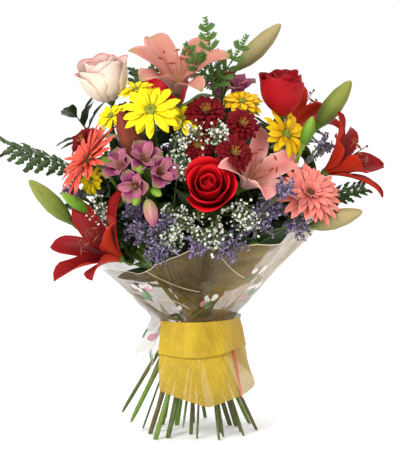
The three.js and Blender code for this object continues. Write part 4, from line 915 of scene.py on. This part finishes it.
def addBud(pile, start, end, radius, slot):
    start, end = np.array(start, float), np.array(end, float)
    length = np.linalg.norm(end - start)
    spot = headFrame(start, (end - start) / length)
    height = (budShape[0][:, 2] + 1) / 2
    turn = np.arctan2(budShape[0][:, 1], budShape[0][:, 0])
    groove = np.abs(np.sin(1.5 * turn)) ** 0.35
    away = radius * np.interp(height, *budSwell) * (0.86 + 0.18 * groove)
    points = put(np.column_stack([np.cos(turn) * away, np.sin(turn) * away, height * length]), spot)
    keep("bud", points, budShape[1])
    pile.add(points, budShape[1], np.column_stack([(turn * 3 / fullTurn) % 1.0, height]), (0.7, 0.5, 1), slot)


stemPaints = {
    "stem_rose_front": stemGreen, "stem_rose_right": stemBrown, "stem_rose_white": stemGreen,
    "stem_rose_back": stemGreen,
    "stem_lily_pink_top": stemBright, "stem_lily_pink_right": stemBright, "stem_lily_red_left": stemGreen,
    "stem_lily_red_right": stemBright, "stem_lily_red_back": stemGreen, "stem_daisy_left": stemGreen,
    "stem_daisy_low": stemBrown, "stem_daisy_right": stemGreen, "stem_mum_front": stemBrown,
    "stem_mum_left": stemBrown,
    "stem_mum_top": stemGreen, "stem_gerbera_coral": stemBright, "stem_gerbera_pink": stemGreen,
}
for name, material in stemPaints.items():
    draw = random.Random(len(name) * 3)
    pile = Pile()
    cadPoints = greenCopy(pile, name, 0)
    materials = [material, leafDark, leafFresh]
    for bud in buds.values():
        if bud["stem"] == name:
            materials.append(petals[bud["paint"]])
            addBud(pile, bud["start"], bud["end"], bud["radius"], len(materials) - 1)
    addGreenery(pile, name, cadPoints, draw, filling["perStem"], (1, 1, 1, 2))
    pile.build(name, materials, name)
print("stems and buds made")

# Open florets by place and aim, and the closed ones beside them from root to tip
florets = {
    "alstroemeria_front": [((-74, -112, 172), (-30, 30)), ((-46, -118, 180), (4, 34)),
                           ((-58, -120, 148), (-18, 0)), ((-28, -122, 164), (22, 14))],
    "alstroemeria_back": [((48, -34, 250), (10, 70)), ((30, 24, 246), (150, 70))],
}
hanging = {"start": (-44, -118, 136), "end": (-37, -121, 108), "radius": 7.5}
closed = {"fork": (-54, -98, 132), "radius": 4.6,
          "buds": [((-52, -114, 140), (-57, -124, 130)), ((-40, -118, 146), (-30, -127, 140)),
                   ((-78, -100, 168), (-90, -108, 176)), ((-50, -112, 164), (-52, -128, 166))]}
for name, mouths in florets.items():
    draw = random.Random(len(mouths) * 5)
    pile = Pile()
    cuts = [(np.array(at) - aimVector(aim) * 22, aimVector(aim)) for at, aim in mouths]
    cadPoints = greenCopy(pile, name, 0, cuts)
    for at, aim in mouths:
        spot = headFrame(np.array(at) - aimVector(aim) * 26, aimVector(aim))
        addCup(pile, spot, (3.2, 3.2, 6), 4, 0.5, 0)
        for i in range(6):
            outer = i % 2 == 0
            petal = {
                "turn": math.pi / 3 * (i + swing(draw, 0.1)), "root": 1.6, "height": 5,
                "length": (28 if outer else 29) * draw.uniform(0.94, 1.02), "width": 21 if outer else 13,
                "rise": (76 if outer else 82) + swing(draw, 4),
                "fall": (36 if outer else 52) + swing(draw, 8),
                "lip": 30, "lipFrom": 0.62, "curl": 0.9, "wave": (1.9, 3.2, draw.random() * 6), "thick": 0.5,
                "profile": outlines["spoon"], "steepest": 88,
            }
            fitPetal(pile, name, spot, rayPetal, (draw.uniform(0.4, 0.8), 0.5, 0.5), 1 if outer else 2, petal,
                     True)
        stamens(pile, spot, draw, 5, 20, 3.5, (3, 4), 0.45)
    if name == "alstroemeria_front":
        alongTube(pile, [(-52, -100, 138), (-48, -112, 142), hanging["start"]], [1.2, 1.2, 1.2])
        addBud(pile, **hanging, slot=2)
        for start, end in closed["buds"]:
            middle = (np.array(start) + closed["fork"]) / 2
            alongTube(pile, [closed["fork"], middle, start], [1.0, 0.9, 1.2])
            addBud(pile, start, end, closed["radius"], 7)
    addGreenery(pile, name, cadPoints, draw, 14, (5, 5, 6), (18, 30), (5, 9), (60, 170))
    pile.build(name, [stemGreen, petals["floretPink"], petals["floretInner"], filament, anther, leafFresh,
                      leafDark, petals["budBright"]], name)
print("alstroemeria made")


def routeLine(route, count=24):
    # smooth line through the route's points
    points = [np.array(point, float) for point in route]
    points = [2 * points[0] - points[1], *points, 2 * points[-1] - points[-2]]
    each = count // (len(points) - 3)
    line = []
    for i in range(1, len(points) - 2):
        a, b, c, d = points[i - 1:i + 3]
        for step in range(each):
            t = step / each
            bend = 2 * a - 5 * b + 4 * c - d
            line.append(0.5 * (2 * b + (c - a) * t + bend * t * t + (3 * b - a - 3 * c + d) * t**3))
    line.append(points[-2])
    return np.array(line)


def onLine(line, share):
    position = share * (len(line) - 1)
    index = min(int(position), len(line) - 2)
    step = line[index + 1] - line[index]
    return line[index] + step * (position - index), unit(step)


fronds = table("route pairs length face seed", {
    "fern_left": ([(-100, -20, 142), (-142, -34, 166), (-184, -42, 182)], 9, 29, (-20, 60), 71),
    "fern_right": ([(118, -26, 112), (146, -38, 130), (174, -46, 140)], 8, 19, (30, 50), 73),
    "fern_back": ([(-20, 92, 176), (-36, 116, 214), (-52, 130, 250)], 10, 28, (190, 30), 74),
})


def addPinna(pile, place, out, up, size, width, lobes, draw, shape):
    # one leaflet, its edges cut into lobes
    u, v, w = shape[0].T
    outline = np.interp(v, [0, 0.1, 0.35, 0.7, 1], [0.3, 0.86, 1, 0.7, 0.05])
    teeth = 0.34 + 0.66 * np.abs(np.sin(math.pi * lobes * v + 0.3)) ** 0.6
    half = width / 2 * outline * np.where(np.abs(u) > 0.5, teeth, 1)
    droop = -0.12 * size * v * v + 0.05 * size * np.abs(u) * np.sin(v * 9 + draw.random() * 6)
    sweep = u * half + 0.1 * size * v * v + 0.12 * np.abs(u) * size * v
    points = place + np.outer(size * v, out) + np.outer(sweep, unit(np.cross(up, out)))
    points = points + np.outer(droop + w * 0.25, up)
    pile.add(points, shape[1], gridUv(shape), draw.uniform(0.1, 0.9))


def addFrond(pile, line, pairs, length, face, draw, wide=0.42, shape=cutGrid, lobes=5, rib=1.1):
    facing = aimVector(face)
    for i in range(pairs + 1):
        share = 0.04 + 0.94 * i / pairs
        place, along = onLine(line, share)
        across = unit(np.cross(along, facing))
        size = max(length * math.sin(math.pi * (0.3 + 0.62 * (1 - share))) * draw.uniform(0.9, 1.05),
                   length * 0.2)
        for sign in (1, -1):
            out = unit(across * sign + along * (0.45 + 0.5 * share) + facing * draw.uniform(-0.2, 0.14))
            addPinna(pile, place, out, unit(np.cross(out, along) * sign), size, size * wide, lobes, draw,
                     shape)
    alongTube(pile, line, [rib, rib * 0.75, rib * 0.4], 0.3)


for name, spec in fronds.items():
    line = routeLine(spec["route"])
    pile = Pile()
    greenCopy(pile, name, 1, [(line[0], unit(line[1] - line[0]))])
    addFrond(pile, line, spec["pairs"], spec["length"], spec["face"], random.Random(spec["seed"]))
    pile.build(name, [fernGreen, stemGreen], name)

# The upright sprig: scale-leaved twigs that fork again
sprig = {"route": [(22, -44, 236), (19, -52, 276), (14, -52, 314)], "face": (0, 10), "seed": 72,
         "twigs": {1.0: 7, 0.8: 5},
         "branches": [(0.2, (6, -54, 266), (-6, -54, 288)), (0.1, (38, -52, 266), (56, -52, 296))]}
scales = {"wide": 0.62, "shape": smallPetal, "lobes": 1}
draw = random.Random(sprig["seed"])
facing = aimVector(sprig["face"])
main = routeLine(sprig["route"])
pile = Pile()
greenCopy(pile, "fern_top", 1, [(main[0], unit(main[1] - main[0]))])
lines = [(main, 1.0)] + [
    (routeLine([onLine(main, share)[0], a, b]), 0.8) for share, a, b in sprig["branches"]
]
for line, size in lines:
    alongTube(pile, line, [1.3 * size, 1.0 * size, 0.6 * size], 0.3)
    twigs = sprig["twigs"][size]
    for i in range(twigs):
        place, along = onLine(line, 0.06 + 0.9 * i / twigs)
        across = unit(np.cross(along, facing))
        long = 19 * size * (1 - 0.62 * i / twigs) * draw.uniform(0.85, 1.1)
        for sign in (1, -1):
            out = unit(across * sign + along * 0.9 + facing * swing(draw, 0.4))
            end = place + out * long
            bent = routeLine([place, (place + end) / 2 - along * long * 0.06, end], 8)
            addFrond(pile, bent, 6, 4.2, sprig["face"], draw, **scales, rib=0.9)
    addFrond(pile, line[-12:], 10, 4.4, sprig["face"], draw, **scales, rib=1.0)
pile.build("fern_top", [sprigGreen, stemGreen], "fern_top")
print("ferns made")

leafSprays = table("start end count length seed", {
    "leaves_left": ((-96, 24, 176), (-122, 26, 210), 7, 44, 81),
    "leaves_right": ((84, 74, 160), (108, 90, 196), 7, 46, 82),
})
for name, spec in leafSprays.items():
    draw = random.Random(spec["seed"])
    start, end = np.array(spec["start"], float), np.array(spec["end"], float)
    aim = unit(end - start)
    width = spec["length"] * 0.4
    pile = Pile()
    greenCopy(pile, name, 1, [(start, aim)])
    alongTube(pile, [start - aim * 3, (start + end) / 2, end], [1.7, 1.2, 0.7], 0.3, 1)
    for i in range(spec["count"]):
        spot = headFrame(start + (end - start) * (i + 0.8) / spec["count"], aim)
        shade = draw.random()
        leaf = {
            "turn": draw.random() * fullTurn, "root": 0.4, "length": spec["length"] * 0.9, "width": width,
            "rise": 36,
            "fall": 6, "curl": 0.3, "fold": 0.12, "wave": (width * 0.05, 2.2, draw.random() * 6),
            "thick": 0.5, "profile": outlines["leaf"],
        }
        for attempt in range(5):
            rough = put(petalOn(coarse, **leaf), spot)
            if not meets(name, rough, coarse[1]):
                keep(name, rough, coarse[1])
                break
            leaf["turn"] += 1.3
        addPetal(pile, spot, leafGrid, shade, 0, leaf)
    pile.build(name, [leafDark, stemGreen], name)
print("leaf sprays made")

# Mist flowers: a trunk from the solids, then branches and many small flowers by seeded draws
mists = table("at seed kind heads", {
    "gypsophila_left": ((-34, -104, 140), 61, "ball",
                        [(-13, -104, 171, 22), (-10, -108, 108, 22), (-24, -104, 94, 13),
                         (-92, -76, 120, 13)]),
    "gypsophila_right": ((30, -98, 196), 62, "ball",
                         [(28, -104, 196, 18), (52, -112, 118, 17), (20, -110, 97, 15), (-2, -104, 196, 14)]),
    "statice_left": ((-48, -105, 114), 63, "horn",
                     [(-46, -104, 102, 26), (-30, -110, 84, 20), (-58, -98, 124, 18), (-126, -60, 140, 13),
                      (-28, -112, 112, 16)]),
    "statice_right": ((66, -106, 124), 64, "horn",
                      [(62, -104, 112, 26), (84, -98, 126, 22), (38, -110, 86, 20), (108, -94, 108, 18),
                       (4, -112, 88, 16), (138, -42, 186, 12), (94, -124, 146, 13)]),
    "statice_back": ((0, 96, 196), 65, "horn", [(0, 96, 196, 26), (30, 84, 200, 20), (-20, 90, 170, 20)]),
})
mistSizes = {"fork": 0.62, "ballTwigs": 1.1, "hornTwigs": 1.5, "balls": 7, "horns": 11}


def addHorn(pile, place, aim, size, shade, slot):
    # a small funnel of papery bracts
    height = horn[0][:, 2]
    radius = np.interp(height, [0, 0.5, 1], [0.35, 0.7, 1.15])
    points = np.column_stack([horn[0][:, 0] * radius, horn[0][:, 1] * radius, height * 3.2]) * size
    pile.add(put(points, headFrame(place, aim)), horn[1], None, shade, slot)


def addBalls(pile, name, draw, line, tip):
    shown = 0
    for k in range(mistSizes["balls"]):
        place = tip + np.array([draw.gauss(0, 4.2) for _ in range(3)])
        size = draw.uniform(0.9, 1.9)
        swell = np.array([draw.uniform(0.72, 1.18) for _ in ball[0]])
        points = ball[0] * size * swell[:, None] + place
        if meets(name, points, ball[1]):
            continue
        shown += 1
        pile.add(points, ball[1], None, draw.uniform(0.2, 1), 2)
        alongTube(pile, [line[-3], (line[-3] + place) / 2 + (0, 0, 0.8), place], [0.3, 0.25], 0.6, 1, finger)
    if shown:
        alongTube(pile, line, [0.55, 0.35], 0.5, 1)


def addHorns(pile, name, draw, line, tip):
    shown = 0
    along = unit(tip - line[0])
    for k in range(mistSizes["horns"]):
        place = line[2] + (tip - line[2]) * (k + draw.random()) / mistSizes["horns"]
        side = unit(np.array([draw.gauss(0, 1), draw.gauss(0, 1), draw.gauss(0.6, 1)]))
        direction = unit(side + along * 0.7)
        if meets(name, np.array([place, place + direction * 5, place + side * 3]), [(0, 1, 2)]):
            continue
        shown += 1
        addHorn(pile, place, direction, draw.uniform(0.75, 1.25), draw.random(), 2)
    if shown:
        alongTube(pile, line, [0.6, 0.4], 0.2, 1)


for name, spec in mists.items():
    draw = random.Random(spec["seed"])
    fork = np.array(spec["at"]) * mistSizes["fork"]
    aim = unit(fork)
    pile = Pile()
    greenCopy(pile, name, 0, [(fork, aim)])
    addFlowers = {"ball": addBalls, "horn": addHorns}[spec["kind"]]
    for *place, spread in spec["heads"]:
        centre = np.array(place, float)
        elbow = (fork + centre) / 2 + (0, 0, 6)
        alongTube(pile, routeLine([fork - aim, elbow, centre], 8), [1.0, 0.8, 0.6], 0.4, 1)
        for _ in range(int(spread * mistSizes[spec["kind"] + "Twigs"])):
            stray = np.array([draw.gauss(0, 1), draw.gauss(0, 0.8), draw.gauss(0, 1)])
            tip = centre + unit(stray) * spread * draw.uniform(0.3, 1.0)
            start = elbow + (centre - elbow) * draw.uniform(0.4, 1)
            line = routeLine([start, (start + tip) / 2 + aim * 3, tip], 8)
            addFlowers(pile, name, draw, line, tip)
    pile.build(name, [stemGreen, twigGreen, mistWhite if spec["kind"] == "ball" else mistPurple], name)
print("mist flowers made")


# Film sleeve: one pleated sheet with crumpled facets and a small print of dots and leaves
def zigzag(value):
    # a line of straight facets between sharp folds
    return 4 * np.abs(value / fullTurn % 1 - 0.5) - 1


def sheetGrid(columns, rows, closed):
    # places from 0 to 1 along and up the sheet, and its faces
    across = columns if closed else columns + 1
    u = np.tile(np.arange(across) / columns, rows + 1)
    v = np.repeat(np.linspace(0, 1, rows + 1), across)
    faces = []
    for row in range(rows):
        for i in range(columns):
            low, high = row * across, (row + 1) * across
            j = (i + 1) % across
            faces.append((low + i, low + j, high + j, high + i))
    return u, v, faces


def onCircle(turn, radius, z):
    return np.column_stack([np.cos(turn) * radius, np.sin(turn) * radius, z])


def crumple(turn, z):
    grow = 0.4 + 1.5 * np.clip(np.abs(z) / 90, 0, 1)
    fold = 0.9 * zigzag(11 * turn + z * 0.021 + 1.3) + 0.6 * zigzag(17 * turn - z * 0.045 + 0.4)
    fold = fold + 0.6 * zigzag(5 * turn + z * 0.09 + 2.1 * np.sin(3 * turn))
    fold = fold + 0.35 * zigzag(29 * turn + z * 0.08)
    gather = 0.8 * zigzag(z * 0.42 + 1.2 * np.sin(turn * 4)) * np.exp(-((z - 14) / 16) ** 2)
    return fold * grow + gather


def hemAt(turn):
    left = np.maximum(np.cos(turn - math.radians(172)), 0)
    return -filmSizes["skirt"] + 5 * np.cos(3 * turn) + filmSizes["skirtRise"] * left**4


def filmPoint(turn, z):
    return onCircle(turn, filmRadius(turn, z) - 2.6 + np.clip(crumple(turn, z), -4, 2.8), z)


u, v, faces = sheetGrid(filmSizes["columns"], filmSizes["rows"], True)
turns = u * fullTurn
rim = filmAt(turns)[1] + 4 * np.cos(5 * turns + 1) + 2.2 * zigzag(13 * turns)
hem = hemAt(turns)
z = hem + (rim - hem) * v
pile = Pile()
pile.add(filmPoint(turns, z), faces, np.column_stack([u, (z + 70) / 240]), np.column_stack([v, v * 0, v * 0]))

film = Paint("amberFilm", 0.18, Specular_IOR_Level=0.4, Coat_Weight=0.35, Coat_Roughness=0.06)
filmX, filmY, filmZ = film.split(film.place())
filmU, filmV = film.uv()
front = film.clamp(filmY, 0.0, -0.02)
# Lighter and hazier on the right side, seen edge-on: partly the doubled film's haze, partly painted sheen
rightHazeAndSheen = film.clamp(filmX, 0.02, 0.1)
haze = film.noise(film.vector(filmU * 10.0, filmV * 7.0), 1.0, 4.0, 0.6, 0.8)
facets = film.vector(filmU * 11.0, filmV * 4.0)
facets = film.node("TexVoronoi", {"feature": "F1"}, {"Vector": facets, "Scale": 1.0}, 1)
# Haze of the film with its paler facets and right side; where it is low, the tint below turns dark amber as
# painted shade
hazeSheenAndShade = film.clamp(haze * 0.9 + film.split(facets)[0] * 0.16 + rightHazeAndSheen * 0.4, 0.42, 1.1)


def creaseWhiteningAndGlint(start, end, bow, width=0.0004):
    # pale line along a sharp fold on the front, partly the creased film's own whitening and partly painted
    # highlight, from one (x, z) place to another, in millimetres from the tie
    (ax, az), (bx, bz) = [((x + tie[0]) / 1000, (y + tie[2]) / 1000) for x, y in (start, end)]
    length = math.hypot(bx - ax, bz - az)
    dx, dz = (bx - ax) / length, (bz - az) / length
    along = ((filmX - ax) * dx + (filmZ - az) * dz) / length
    away = abs((filmX - ax) * dz - (filmZ - az) * dx - along * (1 - along) * (bow / 1000))
    return film.clamp(away, width, width * 0.35) * (along > 0.0) * (1 - (along > 1.0)) * front


# Pale fold lines on the front: partly the creased film's own whitening, partly painted highlight
creases = [((-47, 60), (8, 36), 14), ((30, 74), (54, 50), 8), ((-34, 26), (-2, 16), -10)]
lines = sum((creaseWhiteningAndGlint(*ends) for ends in creases[1:]), creaseWhiteningAndGlint(*creases[0]))
lines = film.clamp(lines, 0.0, 1.0)
# Painted highlight: a pale line along the top edge of the film
rimHighlight = film.clamp(film.tone()[0], 0.991, 0.997)
# The film's own amber tint, darkened to (92, 66, 20) as painted shade of the stems inside, paler where it is
# hazy
tintAndShade = film.mix(hazeSheenAndShade, (92, 66, 20), (170, 142, 94))
tintAndShade = film.mix(film.clamp(lines + rimHighlight, 0.0, 1.2), tintAndShade, (236, 224, 190))
skirt = film.clamp(filmZ, (tie[2] + 6) / 1000, (tie[2] - 20) / 1000)
cover = (hazeSheenAndShade * 0.36 + 0.4) * (1 - skirt * 0.5) + lines * 0.4 + rimHighlight * 0.3
ripple = film.noise(film.vector(filmU * 60.0, filmV * 20.0), 1.0, 3.0)
film.set(Base_Color=tintAndShade, Alpha=cover, Normal=film.bump(ripple, 0.25, 0.0008))


def printInk(name, colour):
    ink = Paint(name, 0.3, Alpha=0.82, Coat_Weight=0.5)
    shaded = tuple(part * 0.75 for part in linear(colour))
    return ink.set(Base_Color=ink.mix(ink.noise(ink.place(), 400.0) * 0.4, colour, shaded))


# Each sprig of the print stands at a turn in degrees and a height: white petals, green leaves and a pink dot
prints = {
    "seed": 90, "sides": 14, "lift": 0.35, "hemGap": 6,
    "places": [(214, 16), (232, 34), (250, 8), (196, 30), (206, -46), (224, -30), (190, -14), (290, 22),
               (318, 52),
               (344, 30), (20, 40), (62, 70), (100, 34), (140, 60), (164, 24), (80, 110), (122, 96),
               (12, 90)],
}
inks = {"white": 1, "green": 2, "pink": 3}
draw = random.Random(prints["seed"])
spots = []
for turn, high in prints["places"]:
    for k in range(5):
        spots.append((turn + swing(draw, 6), high + draw.uniform(2, 9), draw.uniform(2.0, 3.2), 0, "white"))
    for k in range(3):
        spots.append((turn + swing(draw, 7), high - draw.uniform(1, 6), draw.uniform(2.4, 3.4),
                      draw.uniform(0.4, 2.6), "green"))
    spots.append((turn + swing(draw, 8), high + swing(draw, 6), draw.uniform(3, 4.4), 0, "pink"))
ring = np.arange(prints["sides"]) * fullTurn / prints["sides"]
ringFaces = [(i, (i + 1) % prints["sides"], prints["sides"]) for i in range(prints["sides"])]
for degrees, high, size, lean, colour in spots:
    turn = math.radians(degrees)
    if high < hemAt(turn) + prints["hemGap"]:
        continue
    long, thin = (size * 1.5, size * 0.6) if colour == "green" else (size, size)
    across = np.cos(ring) * long * math.cos(lean) - np.sin(ring) * thin * math.sin(lean)
    up = np.cos(ring) * long * math.sin(lean) + np.sin(ring) * thin * math.cos(lean)
    radius = float(filmRadius(np.array(turn), np.array(high)))
    points = filmPoint(turn + np.append(across, 0) / radius, high + np.append(up, 0))
    points[:, :2] += points[:, :2] / np.linalg.norm(points[:, :2], axis=1)[:, None] * prints["lift"]
    pile.add(points, ringFaces, slot=inks[colour])
filmPiece = pile.build("film_sleeve", [film.material, printInk("inkWhite", (226, 224, 216)),
                       printInk("inkGreen", (84, 136, 84)), printInk("inkPink", (206, 124, 146))], "wrapper")
print("film made")

# Mesh wrap: one folded sheet, its turned-over flap, and a ribbon down its right side
wrapSizes = {"from": math.radians(-132), "to": math.radians(88), "corner": math.radians(-78), "lean": 0.3,
             "columns": 120, "rows": 34, "flapRows": 14, "ribbon": (-76, -26), "ribbonSteps": 20,
             "ribbonGap": 2.2}


def wrapRadius(turn, z):
    return filmOuter(turn, z) + 2 + 1.2 * (1 + np.cos(4 * turn + z / 16))


def wrapSheet(flap):
    u, v, faces = sheetGrid(wrapSizes["columns"], wrapSizes["flapRows" if flap else "rows"], False)
    if flap:
        start = wrapSizes["from"] + 0.06 + 0.36 * wrapSizes["lean"] * (1 - v)
        turn = start + (wrapSizes["corner"] + 1.15 - start) * u
        z = -30 - 3 * np.sin(turn * 3) + (32 + 3 * np.sin(turn * 3)) * v
        lift = 1.4 + 2.0 * (1 - v)
    else:
        start = wrapSizes["from"] + wrapSizes["lean"] * (1 - v)
        turn = start + (wrapSizes["to"] - start) * u
        slope = np.where(turn < wrapSizes["corner"], 26, 13)
        bottom = np.minimum(-82 + slope * np.abs(turn - wrapSizes["corner"]), -34)
        z = bottom + (2 - bottom) * v
        lift = 0
    crinkle = 0.45 * zigzag(9 * turn + z * 0.16) + 0.35 * zigzag(23 * turn - z * 0.22)
    crinkle = crinkle + 0.3 * np.sin(60 * turn + z * 0.3)
    fold = 0.8 * zigzag(3.1 * turn + z * 0.09 + 0.8)
    radius = wrapRadius(turn, z) + lift + (0.5 * crinkle + fold) * np.clip((2 - z) / 14, 0.2, 1)
    return onCircle(turn, radius, z), faces, np.column_stack([u * 0.19, z / 1000])


wrap = Paint("yellowMesh", 0.6, Specular_IOR_Level=0.3)
wrapU, wrapV = wrap.uv()
wrapX, _, wrapZ = wrap.split(wrap.place())
fibres = 0
for lean, low in ((0.9, 0.5), (-0.8, 0.5), (0.1, 0.52)):
    strand = wrap.vector((wrapU + wrapV * lean) * 1500.0, (wrapV - wrapU * lean) * 90.0)
    strand = wrap.clamp(wrap.noise(strand, 1.0, 3.0), low, low + 0.12)
    fibres = fibres + strand if fibres else strand
broad = wrap.noise(wrap.vector(wrapU * 26.0, wrapV * 20.0), 1.0, 4.0, 0.6)
pleat = wrap.noise(wrap.vector((wrapU + wrapV * 0.7) * 60.0, (wrapV - wrapU * 0.7) * 22.0), 1.0, 2.0)
colour = wrap.mix(wrap.clamp(broad, 0.3, 0.7), (158, 126, 12), (196, 164, 28))
lowerShade = wrap.clamp(wrapZ, (tie[2] - 34) / 1000, (tie[2] - 80) / 1000)
# Darker and browner towards the bottom: painted shade of the stems behind the mesh
for share, tinted in (
    (lowerShade * 0.55, (150, 124, 40)),
    (wrap.clamp(wrapX, 0.036, 0.05) * 0.4, (176, 142, 78)),
    (wrap.clamp(pleat, 0.62, 0.72) * 0.22, (206, 180, 84)),
    (wrap.clamp(fibres, 0.4, 2.4) * 0.34, (214, 188, 84)),
):
    colour = wrap.mix(share, colour, tinted)
cover = wrap.clamp(fibres, 0.0, 0.9) * 0.12 + 0.86 - wrap.clamp(wrapX, 0.04, 0.055) * 0.1
wrap.set(Base_Color=colour, Alpha=cover, Normal=wrap.bump(fibres, 0.2, 0.0003))
ribbonRed = lengthPaint("ribbonRed", 0.4, (214, 120, 110), (196, 24, 26))

pile = Pile()
pile.add(*wrapSheet(False))
low, high = wrapSizes["ribbon"]
steps, gap = wrapSizes["ribbonSteps"], wrapSizes["ribbonGap"]
z = np.repeat(np.linspace(low, high, steps), 2)
x = 52 - 9 * (z - low) / (high - low) + np.tile([-0.9, 0.9], steps)
turn = np.full(2 * steps, math.radians(-40))
for _ in range(6):
    turn = -np.arccos(np.clip(x / (wrapRadius(turn, z) + gap), -1, 1))
ribbon = np.column_stack([x, np.sin(turn) * (wrapRadius(turn, z) + gap), z])
pile.add(ribbon, [(2 * i, 2 * i + 1, 2 * i + 3, 2 * i + 2) for i in range(steps - 1)],
         np.column_stack([np.tile([0, 1], steps), (z - low) / (high - low)]), 0.5, 1)
wrapPiece = pile.build("mesh_wrap", [wrap.material, ribbonRed], "mesh_wrap")
pile = Pile()
pile.add(*wrapSheet(True))
flapPiece = pile.build("mesh_flap", [wrap.material], "mesh_wrap")
print("mesh wrap made")

# Binding cord: two turns of twine round the stems
twine = {"turns": 2, "thick": 1.25, "gap": 1.7, "rise": 2.6, "twists": 60.0}
cord = Paint("twine", 0.85)
cordU, cordV = cord.uv()
twist = cord.node("TexWave", {"wave_type": "BANDS", "bands_direction": "DIAGONAL"},
                  {"Vector": cord.vector(cordU * 1.0, cordV * twine["twists"]), "Scale": 2.0})
cord.set(Base_Color=cord.mix(twist, (120, 92, 48), (188, 156, 100)), Normal=cord.bump(twist, 0.6, 0.0005))
shape, faces = unitTube(8, 96)
away = np.hypot(shape[:, 0], shape[:, 1])
angle = np.arctan2(shape[:, 1], shape[:, 0])
radius = (cordHigh.x - cordLow.x) * 500 - twine["gap"] + np.cos(angle) * away * twine["thick"]
z = twine["rise"] * (shape[:, 2] - 0.5) + np.sin(angle) * away * twine["thick"]
pile = Pile()
pile.add(onCircle(shape[:, 2] * twine["turns"] * fullTurn, radius, z), faces,
         np.column_stack([angle / roughTurn, shape[:, 2]]))
pile.build("binding_twine", [cord.material], "binding_cord")
print("cord made")

# Floor, light and camera
studio = {"size": 24, "wallAt": 9, "wallTall": 8, "bend": 3, "world": 0.86, "glow": 0.16}
bpy.ops.object.select_all(action="DESELECT")
bpy.ops.mesh.primitive_plane_add(size=studio["size"],
                                 location=(0, studio["wallAt"] - studio["size"] / 2, -0.0005))
backdrop = bpy.context.object
backdrop.name = "studioBackdrop"
bpy.ops.object.transform_apply(location=True, rotation=True, scale=True)
bpy.ops.object.mode_set(mode="EDIT")
bpy.ops.mesh.select_mode(type="EDGE")
bpy.ops.mesh.select_all(action="DESELECT")


def selectFoot():
    # the edge where the floor meets the wall
    for edge in bmesh.from_edit_mesh(backdrop.data).edges:
        edge.select_set(all(vertex.co.y > studio["wallAt"] - 0.1 and vertex.co.z < 0.1
                            for vertex in edge.verts))
    bmesh.update_edit_mesh(backdrop.data)


selectFoot()
bpy.ops.mesh.extrude_region_move(TRANSFORM_OT_translate={"value": (0, 0, studio["wallTall"])})
selectFoot()
bpy.ops.mesh.bevel(offset=studio["bend"], segments=16)
bpy.ops.object.mode_set(mode="OBJECT")
bpy.ops.object.shade_smooth()
backdropPaint = Paint("paleBackdrop", 0.8, Emission_Strength=studio["glow"], Base_Color=(0.95, 0.95, 0.95))
backdrop.data.materials.append(backdropPaint.material)
backdrop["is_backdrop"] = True

world = bpy.data.worlds.new("studio")
world.use_nodes = True
world.node_tree.nodes["Background"].inputs["Color"].default_value = (1, 1, 1, 1)
world.node_tree.nodes["Background"].inputs["Strength"].default_value = studio["world"]
bpy.context.scene.world = world

# Soft boxes: place, size and power
softBoxes = {"keyLight": ((-0.9, -1.6, 1.3), 0.6, 30), "fillLight": ((1.3, -1.2, 0.8), 1.0, 4),
             "topLight": ((0.1, 0.4, 1.7), 0.9, 10)}
for name, (place, size, power) in softBoxes.items():
    light = bpy.data.lights.new(name, "AREA")
    light.shape, light.size, light.energy = "DISK", size, power
    lamp = bpy.data.objects.new(name, light)
    lamp.location = place
    lamp.rotation_euler = (Vector((0, 0, 0.24)) - Vector(place)).to_track_quat("-Z", "Y").to_euler()
    bpy.context.collection.objects.link(lamp)

view = {"distance": 2.2, "elevation": math.radians(6), "lens": 168, "centre": (8.4, 0, 98)}
lens = bpy.data.cameras.new("camera")
lens.lens, lens.sensor_width = view["lens"], 36
lens.clip_start, lens.clip_end = 0.1, 30
camera = bpy.data.objects.new("camera", lens)
bpy.context.collection.objects.link(camera)
back = Vector((0, -math.cos(view["elevation"]), math.sin(view["elevation"])))
camera.location = Vector((tie + np.array(view["centre"])) / 1000) + back * view["distance"]
camera.rotation_euler = (-back).to_track_quat("-Z", "Y").to_euler()
bpy.context.scene.camera = camera
bpy.context.scene.view_settings.view_transform = "Standard"
print("stage made")

low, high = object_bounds()
{"cad": [list(cadLow), list(cadHigh)], "visual": [list(low), list(high)]}
